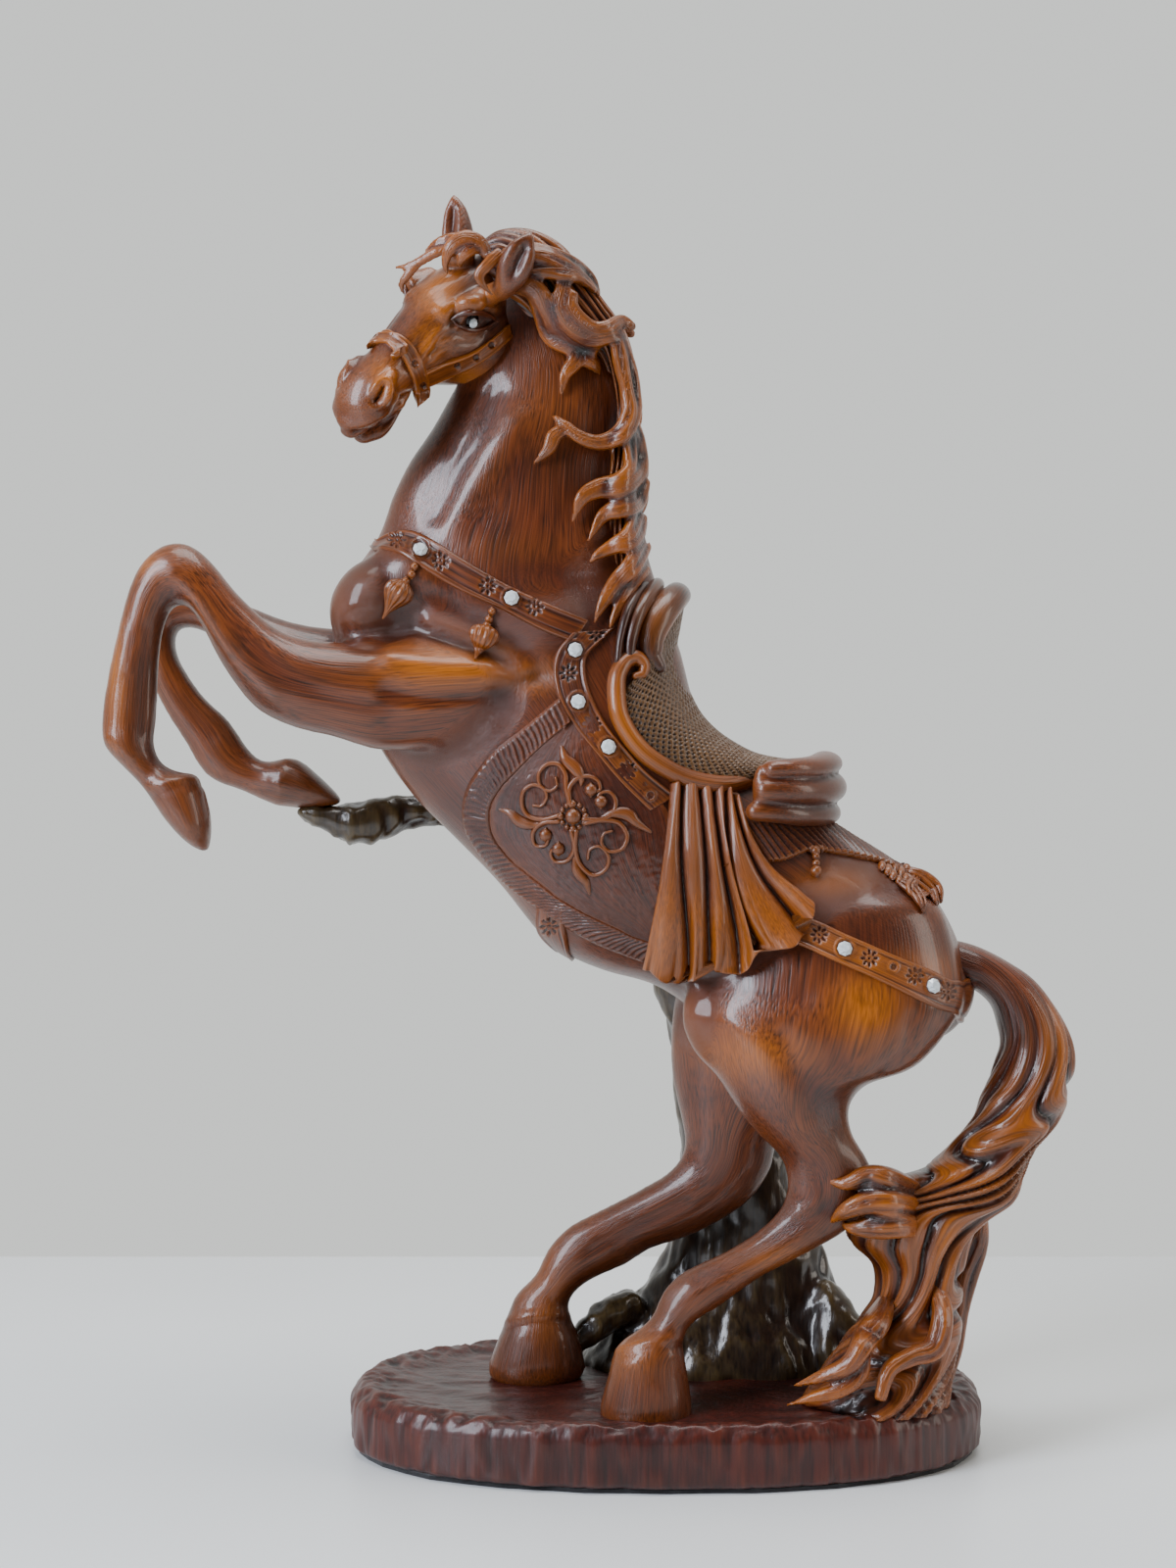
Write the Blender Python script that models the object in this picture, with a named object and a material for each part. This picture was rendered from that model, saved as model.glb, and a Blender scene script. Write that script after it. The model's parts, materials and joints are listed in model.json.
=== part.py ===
"""Rearing horse statue: one resin casting on its oval base, with glued crystals and a felt pad.

Units are metres, +Z is up and the horse faces -X. The origin is the middle of the pad's underside.
The figure is drawn on an elevation sheet 1200 wide and 1600 high, as an eye in front of it sees it,
and every place on that sheet is a share of the figure's height.
"""

import math

import bmesh
import bpy
import numpy as np
from mathutils import Matrix, Vector
from mathutils.bvhtree import BVHTree

# Driving sizes, in metres
FIGURE_HEIGHT = 0.362
BASE_LENGTH = 0.193
BASE_WIDTH = 0.114
BASE_HEIGHT = 0.018
BASE_RIPPLE = 0.0008
BASE_ROUGHNESS = 0.0009
# The base's wall as shares of its reach and height, its ripples (count, height, start) and bluntness
BASE_PROFILE = [(0.99, 0.0), (1.0, 0.14), (1.0, 0.75), (0.975, 0.96), (0.86, 1.0), (0.5, 1.0)]
BASE_RIPPLES = [(23, 1.0, 0.0), (37, 0.7, 1.0), (53, 0.6, 2.4)]
BASE_BLUNTNESS = 2.3
FELT_THICKNESS = 0.0012
FELT_INSET = 0.0020
CRYSTAL_DIAMETER = 0.0044
EYE_CRYSTAL_DIAMETER = 0.0030
CRYSTAL_HEIGHT_SHARE = 0.42
CRYSTAL_FACETS = 8
SEAT_DEPTH = 0.0009
FIT_GAP = 0.0003
STRAP_THICKNESS = 0.0019
CLOTH_THICKNESS = 0.0022
SADDLE_THICKNESS = 0.0035

# The sheet: its units per millimetre, the eye before it, and the ground line, in sheet millimetres
SHEET_HEIGHT_MM = 362.0
SHEET_UNITS = 3.325
SHEET_MIDDLE = (600.0, 800.0)
EYE = (-23.5, -700.0, 201.0)
GROUND_MM = 18.0
MM = FIGURE_HEIGHT / SHEET_HEIGHT_MM

# The horse's middle plane, in sheet millimetres
MIDDLE = -14.0

# How fine the modelled figure is, and how far it is thinned
VOXEL_MM = 1.15
SMOOTH_PASSES = 9
FIGURE_TRIANGLES = 7200
CARVED_FROM_MM = 0.6
CARVED_TO_MM = 8.0
CARVED_WEIGHT = 0.015

# Round ends of lofted bodies: how far they reach as a share of the body, and the tilts of their rings
CAP_REACH = 0.6
CAP_TILTS = (35, 65)
THINNEST_MM = 0.3
# How far a slab reaches under the skin that carries it
SLAB_SINK_MM = 4.0
# A lump's slices, as shares of its half length
LUMP_SLICES = np.linspace(-0.94, 0.94, 11)

# Ribs of a limb or trunk: outer contour, inner contour, depth of the middle, half thickness.
# The contours are in sheet units, the depth and the thickness in sheet millimetres.
TRUNK_RIBS = [
    (982, 990, 945, 1062, -14, 14),
    (975, 955, 885, 1085, -14, 23),
    (948, 908, 800, 1085, -14, 27.5),
    (910, 882, 728, 1045, -14, 28.5),
    (862, 852, 670, 1006, -14, 27.5),
    (805, 810, 612, 989, -14, 28),
    (750, 775, 560, 962, -14, 29),
    (712, 725, 508, 900, -14, 29.5),
    (694, 662, 462, 853, -14, 28.5),
    (676, 612, 422, 813, -14, 26.5),
    (664, 575, 388, 765, -14, 25),
    (657, 545, 358, 700, -14, 23),
    (652, 520, 342, 650, -14, 20),
    (648, 500, 346, 615, -14, 17),
]
NECK_RIBS = [
    (690, 690, 400, 740, -14, 25),
    (672, 610, 350, 650, -14, 24.5),
    (660, 560, 358, 592, -14, 23),
    (652, 520, 386, 548, -14, 21),
    (647, 480, 400, 508, -14.5, 19),
    (641, 438, 417, 473, -15.5, 17.5),
    (641, 395, 438, 442, -17, 16),
    (632, 348, 455, 412, -19, 15),
    (600, 300, 468, 380, -21, 13.5),
    (568, 258, 480, 345, -23, 11.5),
    (526, 240, 488, 305, -24, 8),
]
NEAR_FORELEG_RIBS = [
    (500, 650, 500, 752, -30, 12),
    (440, 648, 442, 763, -33, 13),
    (385, 652, 388, 766, -35, 13),
    (330, 654, 340, 752, -37, 12),
    (286, 643, 298, 742, -38, 11),
    (245, 608, 260, 722, -38, 10),
    (222, 580, 228, 680, -38, 9.5),
    (203, 561, 207, 640, -38, 9),
    (180, 552, 188, 616, -38, 8.6),
    (152, 566, 175, 622, -38, 8.4),
    (134, 595, 167, 640, -38, 8),
    (120, 645, 163, 668, -38, 7.4),
    (109, 695, 161, 700, -38, 7),
    (103, 740, 160, 740, -38, 7),
    (106, 761, 156, 754, -38, 7.4),
    (124, 781, 163, 777, -38, 7),
    (140, 797, 180, 787, -38, 7.2),
    (152, 812, 203, 793, -38, 9),
    (168, 836, 214, 825, -38, 9.4),
    (188, 858, 216, 848, -38, 8),
    (207, 871, 214, 866, -38, 4),
]
FAR_FORELEG_RIBS = [
    (430, 645, 430, 750, 2, 12),
    (385, 643, 400, 745, 6, 12),
    (331, 640, 345, 735, 9, 11),
    (290, 632, 300, 712, 10, 10),
    (245, 614, 252, 680, 10, 9),
    (208, 600, 215, 648, 10, 8.4),
    (172, 600, 186, 640, 10, 8),
    (150, 625, 179, 650, 10, 7.6),
    (146, 662, 181, 668, 10, 7),
    (154, 695, 193, 690, 10, 6.6),
    (170, 728, 209, 711, 10, 6.2),
    (189, 758, 235, 736, 10, 6.2),
    (204, 784, 249, 757, 10, 6.8),
    (220, 798, 263, 774, 10, 6.4),
    (246, 807, 279, 777, 10, 6.2),
    (266, 816, 288, 773, 10, 7.6),
    (284, 823, 303, 773, 10, 9),
    (310, 825, 322, 788, 10, 9),
    (336, 824, 340, 805, 10, 6.5),
    (351, 821, 351, 817, 10, 3),
]
NEAR_HINDLEG_RIBS = [
    (735, 935, 965, 935, -24, 18),
    (718, 978, 977, 978, -26, 20),
    (708, 1020, 982, 1022, -29, 20.5),
    (713, 1055, 964, 1056, -31, 19.5),
    (725, 1087, 932, 1089, -32, 17.5),
    (742, 1115, 885, 1105, -33, 15),
    (757, 1138, 866, 1130, -33, 13),
    (776, 1160, 871, 1158, -33, 11),
    (796, 1180, 885, 1180, -33, 9.2),
    (803, 1203, 893, 1203, -33, 8.2),
    (800, 1225, 886, 1232, -33, 7.8),
    (788, 1243, 862, 1257, -33, 7.2),
    (765, 1262, 836, 1272, -33.5, 6.6),
    (740, 1277, 808, 1287, -34, 6.2),
    (715, 1289, 777, 1303, -34, 6.4),
    (692, 1301, 752, 1320, -34, 7),
    (675, 1320, 731, 1335, -34, 7.2),
    (665, 1344, 712, 1345, -34, 7),
    (648, 1360, 703, 1355, -34, 7.4),
    (628, 1375, 697, 1367, -34, 9.8),
    (621, 1400, 702, 1400, -34, 11),
    (610, 1440, 708, 1440, -34, 12.4),
]
FAR_HINDLEG_RIBS = [
    (705, 960, 930, 960, -3, 19),
    (690, 1010, 930, 1005, 0, 19.5),
    (684, 1055, 925, 1050, 2, 18.5),
    (685, 1095, 880, 1090, 4, 16),
    (692, 1130, 825, 1125, 5, 13),
    (698, 1158, 795, 1160, 5, 10.5),
    (696, 1178, 788, 1190, 5, 9),
    (682, 1196, 768, 1222, 5, 8),
    (655, 1212, 735, 1246, 5, 7.4),
    (628, 1226, 700, 1263, 5, 6.8),
    (602, 1239, 665, 1274, 5, 6.4),
    (580, 1251, 640, 1290, 5, 6.8),
    (560, 1272, 607, 1304, 5, 7.2),
    (545, 1302, 588, 1317, 5, 7),
    (527, 1319, 580, 1332, 5, 7.2),
    (518, 1340, 583, 1345, 5, 9.6),
    (508, 1365, 591, 1362, 5, 11),
    (496, 1396, 599, 1396, 5, 12.4),
]
TAIL_RIBS = [
    (960, 958, 960, 1000, -14, 7),
    (982, 961, 982, 1009, -14, 8),
    (1003, 968, 995, 1011, -14, 9),
    (1028, 981, 1011, 1026, -14, 9.5),
    (1055, 1000, 1018, 1048, -14.5, 10),
    (1078, 1030, 1021, 1066, -15, 10.5),
    (1092, 1062, 1017, 1083, -15.5, 11),
    (1094, 1092, 1010, 1102, -16, 11.5),
    (1086, 1120, 1003, 1120, -17, 12),
    (1075, 1145, 996, 1142, -18, 12.5),
    (1053, 1170, 978, 1163, -19, 13),
    (1042, 1198, 955, 1185, -20, 13.5),
    (1032, 1224, 915, 1204, -21, 14),
    (1006, 1243, 868, 1226, -22, 14),
    (988, 1264, 868, 1262, -22, 14),
    (980, 1295, 893, 1290, -21, 13.5),
    (979, 1328, 895, 1322, -21, 13.5),
    (979, 1358, 880, 1346, -21, 14.5),
    (972, 1385, 862, 1370, -22, 16.5),
    (965, 1430, 820, 1430, -24, 20),
]
STUMP_RIBS = [
    (676, 960, 775, 960, 22, 10),
    (668, 1004, 775, 1004, 24, 12),
    (680, 1050, 790, 1050, 26, 13),
    (690, 1120, 800, 1115, 27, 14),
    (695, 1175, 806, 1170, 28, 15),
    (692, 1225, 822, 1225, 28, 16),
    (680, 1272, 842, 1278, 28, 17),
    (655, 1312, 853, 1312, 28, 18.5),
    (624, 1342, 866, 1342, 27, 21),
    (590, 1385, 884, 1390, 25, 25),
]

# Strands: across, down, depth, half width, half thickness. Sheet units, then sheet millimetres.
BRANCH = [
    (735, 1010, 26, 9, 9),
    (672, 950, 26, 8.5, 8.5),
    (600, 898, 23, 7, 7.5),
    (530, 862, 20, 6, 7),
    (458, 828, 16, 5, 6),
    (412, 830, 13, 5.4, 6),
    (368, 841, 11, 7, 6.5),
    (338, 836, 10, 5, 6),
    (310, 829, 10, 2.4, 4),
]
ROOTS = [
    [(640, 1345, 16, 6, 5), (598, 1362, 8, 4.6, 4), (560, 1388, 0, 3.2, 3)],
    [(840, 1335, 16, 6, 5), (872, 1360, 8, 4.6, 4), (900, 1392, 0, 3.2, 3)],
    [(720, 1350, 16, 6, 5), (722, 1380, 8, 4.6, 4), (700, 1405, 0, 3.2, 3)],
    [(790, 1350, 16, 6, 5), (800, 1372, 8, 4.6, 4), (822, 1396, 0, 3.2, 3)],
]
TAIL_TUFT = [
    (925, 1215, -26, 6, 8),
    (890, 1205, -30, 6, 8),
    (862, 1210, -32, 3.6, 7),
    (843, 1205, -33, 1.2, 3),
]
TAIL_FOOT = [
    (900, 1345, -30, 8, 10),
    (878, 1385, -36, 7, 9),
    (850, 1418, -42, 4.6, 6),
    (808, 1432, -44, 1.6, 3),
]
TAIL_BACK_LOCK = [
    (1012, 1235, -8, 4, 6),
    (1008, 1270, -6, 4, 6),
    (994, 1310, -5, 3.6, 6),
    (982, 1350, -5, 3.6, 6),
    (968, 1410, -6, 3, 6),
]
# Locks that lie on the neck: across, down, half width, half thickness, height over the neck
MANE_LOCKS = [
    [(497, 248, 2.6, 3.2, 0), (525, 236, 3.4, 4, 1), (560, 250, 3.6, 4, 1), (592, 270, 2, 3, 0)],
    [(512, 262, 3, 3, 1), (548, 262, 4, 4, 2), (582, 280, 4, 4, 2), (604, 300, 1.2, 2, 1)],
    [(522, 290, 2.4, 2.6, 1), (552, 312, 3.4, 3.4, 2), (570, 345, 4, 3.2, 2),
     (588, 358, 3, 3, 2), (578, 382, 2, 2.4, 1), (573, 402, 0.5, 1, 0)],
    [(572, 268, 3, 4, 1), (590, 292, 4, 4, 2), (590, 322, 4, 4, 2), (612, 340, 3.6, 3.4, 2),
     (634, 334, 2, 2.4, 1)],
    [(596, 280, 3.4, 5, 0), (612, 308, 4, 5, 1), (632, 336, 4.4, 5, 1), (644, 362, 4.4, 5, 1),
     (650, 400, 4.4, 5, 1), (650, 425, 4.6, 4.6, 2), (628, 450, 3.8, 4, 3), (600, 452, 3.2, 3.4, 3),
     (574, 436, 2.4, 2.8, 2), (560, 446, 1.8, 2.2, 1), (544, 472, 0.5, 1, 0)],
    [(645, 430, 4, 5, 0), (650, 460, 5, 5, 1), (640, 490, 5.4, 4.4, 2), (610, 500, 4, 3.4, 2),
     (592, 512, 2.6, 2.6, 1), (584, 532, 0.5, 1, 0)],
    [(652, 490, 3.4, 4, 0), (640, 522, 5, 4.4, 2), (618, 534, 3.4, 3.4, 2), (600, 553, 0.5, 1, 0)],
    [(650, 515, 3, 4, 0), (648, 552, 5, 4.4, 2), (630, 590, 4.4, 3.6, 2), (612, 632, 0.6, 1, 0)],
]
FORELOCK = [
    [(505, 250, 2.6, 2.6, 0), (485, 246, 3, 2.6, 1), (462, 252, 2.6, 2.4, 2), (456, 278, 0.6, 1, 1)],
    [(508, 258, 2.4, 2.4, 1), (494, 276, 2.6, 2.4, 2), (503, 300, 0.6, 1, 1)],
    [(490, 244, 2, 2.4, 0), (448, 250, 2.2, 2.2, 1), (430, 266, 1.4, 1.6, 1), (406, 275, 0.5, 1, 0)],
]

# Muscles on the near side, copied to the far side: across, down, depth, half length, half width,
# half thickness, tilt in degrees
MUSCLES = [
    (385, 611, -24, 16, 14, 14.5, -62),
    (426, 597, -28, 21, 13, 10, -40),
    (470, 682, -33, 27, 7, 6, -8),
    (446, 735, -33, 22, 9, 7, -4),
    (560, 640, -32, 30, 14, 7, -50),
    (600, 730, -34, 26, 14, 6, -60),
    (738, 1050, -32, 16, 11, 8, -60),
    (905, 1030, -32, 20, 17, 12, 50),
    (830, 1075, -38, 22, 13, 7, 60),
]

# The head's own frame: the poll, the way to the muzzle and the way to the near cheek
POLL = (494, 256, -24)
HEAD_AXIS = (-0.625, -0.400, -0.670)
HEAD_SIDE = (0.760, -0.505, -0.410)
# Slices of the head, in sheet millimetres: way from the poll, top, underside, half width
HEAD_SLICES = [
    (-3, -4, -17, 7),
    (3, 0, -25, 10.5),
    (10, 2.2, -31, 12.6),
    (18, 2.8, -33, 13.6),
    (26, 2.2, -31, 12.6),
    (34, 0.6, -25, 10.4),
    (42, -0.8, -20.5, 8.6),
    (50, -2, -18, 7.8),
    (57, -3, -18.4, 8.4),
    (63, -4.6, -18.6, 9),
    (68.5, -8, -17.6, 7.4),
    (71.5, -11.6, -16, 4),
]
# Swellings of the head in its own frame: way, height, half height, half width; and their way to a cheek
CHEEK = [(10, -17, 8, 4), (19, -19, 11.5, 6.4), (28, -17, 7, 3.6)]
CHEEK_OFF = 7.5
BROW = [(14, -2, 2, 2.4), (20, -2.4, 3, 3.6), (26, -5, 1.6, 1.8)]
BROW_OFF = 10.2
NOSTRIL = [(60, -6, 2, 2), (64, -8, 3.6, 3.2), (68, -11, 2, 1.6)]
NOSTRIL_OFF = 6.4
CHIN = [(50, -17, 3, 5), (57, -20, 3.4, 5.6), (63, -22, 3.4, 5.4), (67, -22, 2, 3)]
# The eye's place in the head's frame, and how far outside the cheek it is looked for
EYE_WAY, EYE_HEIGHT, EYE_SEARCH = 21, -7, 30
EARS = [
    [(474, 262, -30, 5, 4), (470, 240, -29, 5, 3.4), (465, 216, -28, 3.6, 2.6), (463, 200, -28, 0.6, 0.8)],
    [(520, 292, -38, 3, 3), (524, 276, -40, 5.2, 3.4), (533, 255, -40, 4.6, 3), (540, 239, -40, 0.6, 0.8)],
]

# Tack on the near side, copied to the far side. Straps: upper edge and lower edge.
BREAST_STRAP = [
    (373, 548, 366, 566), (400, 543, 399, 562), (440, 550, 430, 580), (480, 575, 470, 603),
    (520, 598, 512, 622), (560, 616, 550, 640), (602, 634, 590, 658),
]
SHOULDER_STRAP = [
    (627, 640, 585, 640), (604, 662, 571, 664), (598, 690, 567, 698), (612, 722, 576, 724),
    (640, 762, 602, 762), (668, 796, 634, 800), (700, 822, 668, 832),
]
CRUPPER_STRAP = [
    (820, 934, 810, 962), (860, 952, 850, 980), (905, 971, 895, 1001), (950, 990, 940, 1022),
    (985, 1004, 975, 1034),
]
GIRTH_STRAP = [
    (572, 925, 546, 930), (577, 945, 551, 952), (582, 965, 560, 972), (590, 980, 572, 984),
]
BLANKET = [
    (600, 700, 570, 710), (630, 745, 540, 737), (655, 790, 498, 772), (668, 830, 472, 818),
    (670, 870, 478, 856), (665, 915, 510, 899), (660, 950, 570, 944), (657, 980, 640, 976),
]
SADDLE_PANEL = [
    (690, 600, 655, 612), (688, 640, 640, 655), (692, 670, 626, 690), (700, 708, 623, 725),
    (718, 738, 636, 758), (745, 762, 664, 786), (785, 778, 705, 806), (830, 780, 752, 810),
]
DRAPE_FOLDS = 8
DRAPE_TOP = [(684, 803), (712, 806), (738, 810), (757, 832)]
DRAPE_FOOT = [(658, 979), (708, 1000), (768, 990), (832, 925)]
DRAPE_RELIEF_MM = 3.4
RUMP_PAD = [
    (757, 834, 780, 880), (790, 836, 812, 876), (825, 838, 846, 874), (857, 842, 880, 880),
    (893, 866, 905, 892), (925, 888, 925, 905), (948, 905, 940, 925),
]
# Rolled edges of the saddle: across, down, half width, half thickness, height over the body
SADDLE_ROLLS = [
    [(655, 688, 3, 3, 4), (642, 668, 3, 3, 4), (630, 690, 3, 3, 4), (627, 725, 3.2, 3.2, 4),
     (640, 757, 3.2, 3.2, 4), (668, 784, 3.2, 3.2, 4), (702, 803, 3.2, 3.2, 4), (742, 806, 3.2, 3.2, 4),
     (775, 790, 3.2, 3.2, 4), (764, 778, 2, 2.4, 4)],
    [(697, 602, 3, 6, 1), (684, 612, 3.4, 5, 2), (668, 638, 3.6, 4, 3), (664, 668, 3, 3, 3)],
]
# The cantle's three rolls over the back: near end, middle of the back, half width, half thickness
CANTLE_ROLLS = [
    (775, 785, 841, 777, 5.2, 3.3),
    (768, 806, 847, 803, 5.0, 4.2),
    (758, 827, 845, 829, 4.0, 3.0),
]
CANTLE_HALF_WIDTH = 27.0
CANTLE_BOW = 0.97
TASSELS = [
    [(424, 572, 1.6, 1.6, 1), (414, 594, 1.8, 1.8, 1), (404, 608, 3.8, 3.4, 1), (392, 629, 0.8, 1, 1)],
    [(504, 612, 1.6, 1.6, 1), (499, 634, 1.8, 1.8, 1), (493, 650, 3.8, 3.4, 1), (486, 671, 0.8, 1, 1)],
]
# Crystals on the near side's straps, copied to the far side, and the eye's
STRAP_CRYSTALS = [
    (429, 560), (522, 610), (587, 663), (590, 716), (621, 762), (862, 968), (953, 1006),
]


def seen(across, down, depth):
    """The point at a depth, in sheet millimetres, that the sheet shows at this place."""
    spread = (1 - depth / EYE[1]) / SHEET_UNITS
    x = EYE[0] + (across - SHEET_MIDDLE[0]) * spread
    z = EYE[2] + (SHEET_MIDDLE[1] - down) * spread
    return settled(np.array([x, depth, z]))


def settled(point):
    """A point in sheet millimetres as metres over the base's top."""
    return np.array([point[0], point[1], point[2] - GROUND_MM]) * MM + (0, 0, BASE_HEIGHT)


def smooth_through(rows, steps):
    """Rows of numbers carried on a Catmull-Rom curve through every given row."""
    rows = np.asarray(rows, float)
    run = np.vstack([2 * rows[0] - rows[1], rows, 2 * rows[-1] - rows[-2]])
    share = np.linspace(0, 1, steps, endpoint=False)[:, None]
    spans = []
    for before, start, end, after in zip(run, run[1:], run[2:], run[3:]):
        bend = 2 * before - 5 * start + 4 * end - after
        twist = 3 * start - before - 3 * end + after
        spans.append(start + 0.5 * ((end - before) * share + bend * share**2 + twist * share**3))
    return np.vstack(spans + [rows[-1:]])


def unit(vectors):
    """Vectors at length one."""
    return vectors / np.maximum(np.linalg.norm(vectors, axis=-1, keepdims=True), 1e-9)


def closed_skin(rings, start_pole, end_pole):
    """Points and faces of a closed skin through rings, with a pole at each end."""
    count, sides = rings.shape[:2]
    points = np.vstack([rings.reshape(-1, 3), start_pole, end_pole])
    ring = np.arange(sides)
    after = (ring + 1) % sides
    faces = []
    for row in range(count - 1):
        low, high = row * sides, (row + 1) * sides
        faces += np.stack([low + ring, low + after, high + after, high + ring], 1).tolist()
    last = (count - 1) * sides
    faces += np.stack([after, ring, np.full(sides, count * sides)], 1).tolist()
    faces += np.stack([last + ring, last + after, np.full(sides, count * sides + 1)], 1).tolist()
    return points, faces


def loft(centres, outs, sides_way, sides=18):
    """A closed round-ended body: ellipses whose half axes are outs and sides_way at each centre."""
    along = unit(np.gradient(centres, axis=0))
    reach = np.minimum(np.linalg.norm(outs, axis=1), np.linalg.norm(sides_way, axis=1)) * CAP_REACH
    turn = np.linspace(0, 2 * math.pi, sides, endpoint=False)[None, :, None]
    rings = centres[:, None] + outs[:, None] * np.cos(turn) + sides_way[:, None] * np.sin(turn)
    caps = []
    for end, way in ((0, -1), (-1, 1)):
        cap = []
        for tilt in CAP_TILTS:
            shrink, push = math.cos(math.radians(tilt)), math.sin(math.radians(tilt))
            middle = centres[end] + way * along[end] * reach[end] * push
            cap.append(middle + (rings[end] - centres[end]) * shrink)
        caps.append((np.array(cap), centres[end] + way * along[end] * reach[end]))
    rings = np.concatenate([caps[0][0][::-1], rings, caps[1][0]])
    return closed_skin(rings, caps[0][1], caps[1][1])


def ribbed(ribs, steps=4):
    """A limb or trunk through its ribs, each an ellipse from contour to contour."""
    rows = smooth_through(ribs, steps)
    outer = np.array([seen(row[0], row[1], row[4]) for row in rows])
    inner = np.array([seen(row[2], row[3], row[4]) for row in rows])
    ways = np.zeros_like(outer)
    ways[:, 1] = rows[:, 5] * MM
    return loft((outer + inner) / 2, (outer - inner) / 2, ways)


def strand(rows, steps=4, sides=10):
    """A lock, roll or branch along a path of place, depth, half width and half thickness."""
    rows = smooth_through(rows, steps)
    centres = np.array([seen(*row[:3]) for row in rows])
    along = unit(np.gradient(centres, axis=0))
    across = unit(np.cross(along, (0.0, 1.0, 0.0)))
    out = unit(np.cross(across, along))
    widths = np.maximum(rows[:, 3:4], THINNEST_MM) * MM
    heights = np.maximum(rows[:, 4:5], THINNEST_MM) * MM
    return loft(centres, across * widths, out * heights, sides)


def lump(across, down, depth, half_length, half_width, half_thickness, tilt):
    """An egg-shaped muscle, tilted in the plane of the sheet."""
    turn = math.radians(tilt)
    way = np.array([math.cos(turn), 0, math.sin(turn)])
    wide = np.array([-math.sin(turn), 0, math.cos(turn)])
    share = LUMP_SLICES[:, None]
    round_off = np.sqrt(1 - share**2)
    centres = seen(across, down, depth) + way * half_length * MM * share
    thick = np.array([0, half_thickness * MM, 0])
    return loft(centres, wide * half_width * MM * round_off, thick * round_off, 14)


def mirrored(part):
    """The same points and faces on the horse's other side."""
    points, faces = part
    flipped = points.copy()
    flipped[:, 1] = 2 * MIDDLE * MM - flipped[:, 1]
    return flipped, [face[::-1] for face in faces]


def head_frame():
    """The head's axis, side and top directions, and its poll."""
    axis = unit(np.array(HEAD_AXIS))
    side = np.array(HEAD_SIDE)
    side = unit(side - axis * side.dot(axis))
    return axis, side, np.cross(axis, side), seen(*POLL)


def on_head(way, height, side_way):
    """A place on the head: way from the poll, height over its line, and way to the near cheek."""
    axis, side, top, poll = head_frame()
    return poll + (axis * way + top * height + side * side_way) * MM


def swelling(slices, off, sides):
    """A swelling of the head through its slices, which lie off its middle plane."""
    _, side, top, _ = head_frame()
    centres = np.array([on_head(way, height, off) for way, height, _, _ in slices])
    halves = np.array([row[2:] for row in slices]) * MM
    return loft(centres, top * halves[:, :1], side * halves[:, 1:], sides)


def head_parts():
    """The skull, the cheeks, the brows, the nostrils, the chin and the ears."""
    rows = smooth_through(HEAD_SLICES, 3)
    skull = [(way, (high + low) / 2, (high - low) / 2, half) for way, high, low, half in rows]
    parts = [swelling(skull, 0, 18), swelling(CHIN, 0, 12)]
    for hand in (-1, 1):
        parts.append(swelling(CHEEK, hand * CHEEK_OFF, 14))
        parts.append(swelling(BROW, hand * BROW_OFF, 10))
        parts.append(swelling(NOSTRIL, hand * NOSTRIL_OFF, 10))
    return parts + [strand(rows) for rows in EARS]


class Side:
    """One side of a finished mesh, as the eye in front of the sheet, or a like one behind, meets it.

    The far side is worked out on a mirrored copy, and its parts are then mirrored back.
    """

    def __init__(self, mesh_object, far=False):
        points = np.array([vert.co for vert in mesh_object.data.vertices])
        faces = [tuple(face.vertices) for face in mesh_object.data.polygons]
        if far:
            points, faces = mirrored((points, faces))
        self.tree = BVHTree.FromPolygons(points.tolist(), faces)
        self.eye = Vector(settled(np.array(EYE)))

    def depth(self, across, down, fallback=MIDDLE):
        """The depth, in sheet millimetres, of the surface that the sheet shows at this place."""
        aim = (Vector(seen(across, down, 0)) - self.eye).normalized()
        hit = self.tree.ray_cast(self.eye, aim)[0]
        return fallback if hit is None else hit.y / MM

    def normal(self, across, down):
        """The outward direction there."""
        aim = (Vector(seen(across, down, 0)) - self.eye).normalized()
        return self.tree.ray_cast(self.eye, aim)[1]

    def laid(self, rows):
        """Rows of place, half width, half thickness and height, laid on the surface as a strand."""
        found = []
        for across, down, width, thick, height in rows:
            deep = min(self.depth(across, down), MIDDLE)
            found.append((across, down, deep - height, width, thick))
        return strand(found)

    def slab(self, rows, thickness, columns=5, steps=4, relief=None):
        """A closed slab over the surface, between the two edges that each row gives."""
        rows = smooth_through(rows, steps)
        share = np.linspace(0, 1, columns)
        deep = np.array([[self.depth(row[0] + (row[2] - row[0]) * part,
                                     row[1] + (row[3] - row[1]) * part, np.nan)
                          for part in share] for row in rows])
        deep = np.where(np.isnan(deep), np.nanmax(deep), deep)
        outer = []
        inner = []
        for row, depths, number in zip(rows, deep, range(len(rows))):
            place = [(row[0] + (row[2] - row[0]) * part, row[1] + (row[3] - row[1]) * part)
                     for part in share]
            lift = [0.0] * columns if relief is None else relief(number / (len(rows) - 1), share)
            skin = thickness / MM
            outer.append([seen(*at, deep_at - skin - up) for at, deep_at, up in zip(place, depths, lift)])
            inner.append([seen(*at, deep_at + SLAB_SINK_MM) for at, deep_at in zip(place, depths)])
        outer, inner = np.array(outer), np.array(inner)
        loops = np.concatenate([outer, inner[:, ::-1]], axis=1)
        return closed_skin(loops, loops[0].mean(0), loops[-1].mean(0))


def add_object(name, points, faces):
    """A mesh object of these points and faces, its faces pointing outwards."""
    mesh = bpy.data.meshes.new(name)
    mesh.from_pydata(np.asarray(points).tolist(), [], faces)
    work = bmesh.new()
    work.from_mesh(mesh)
    bmesh.ops.recalc_face_normals(work, faces=work.faces)
    work.to_mesh(mesh)
    work.free()
    made = bpy.data.objects.new(name, mesh)
    bpy.context.scene.collection.objects.link(made)
    return made


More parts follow.
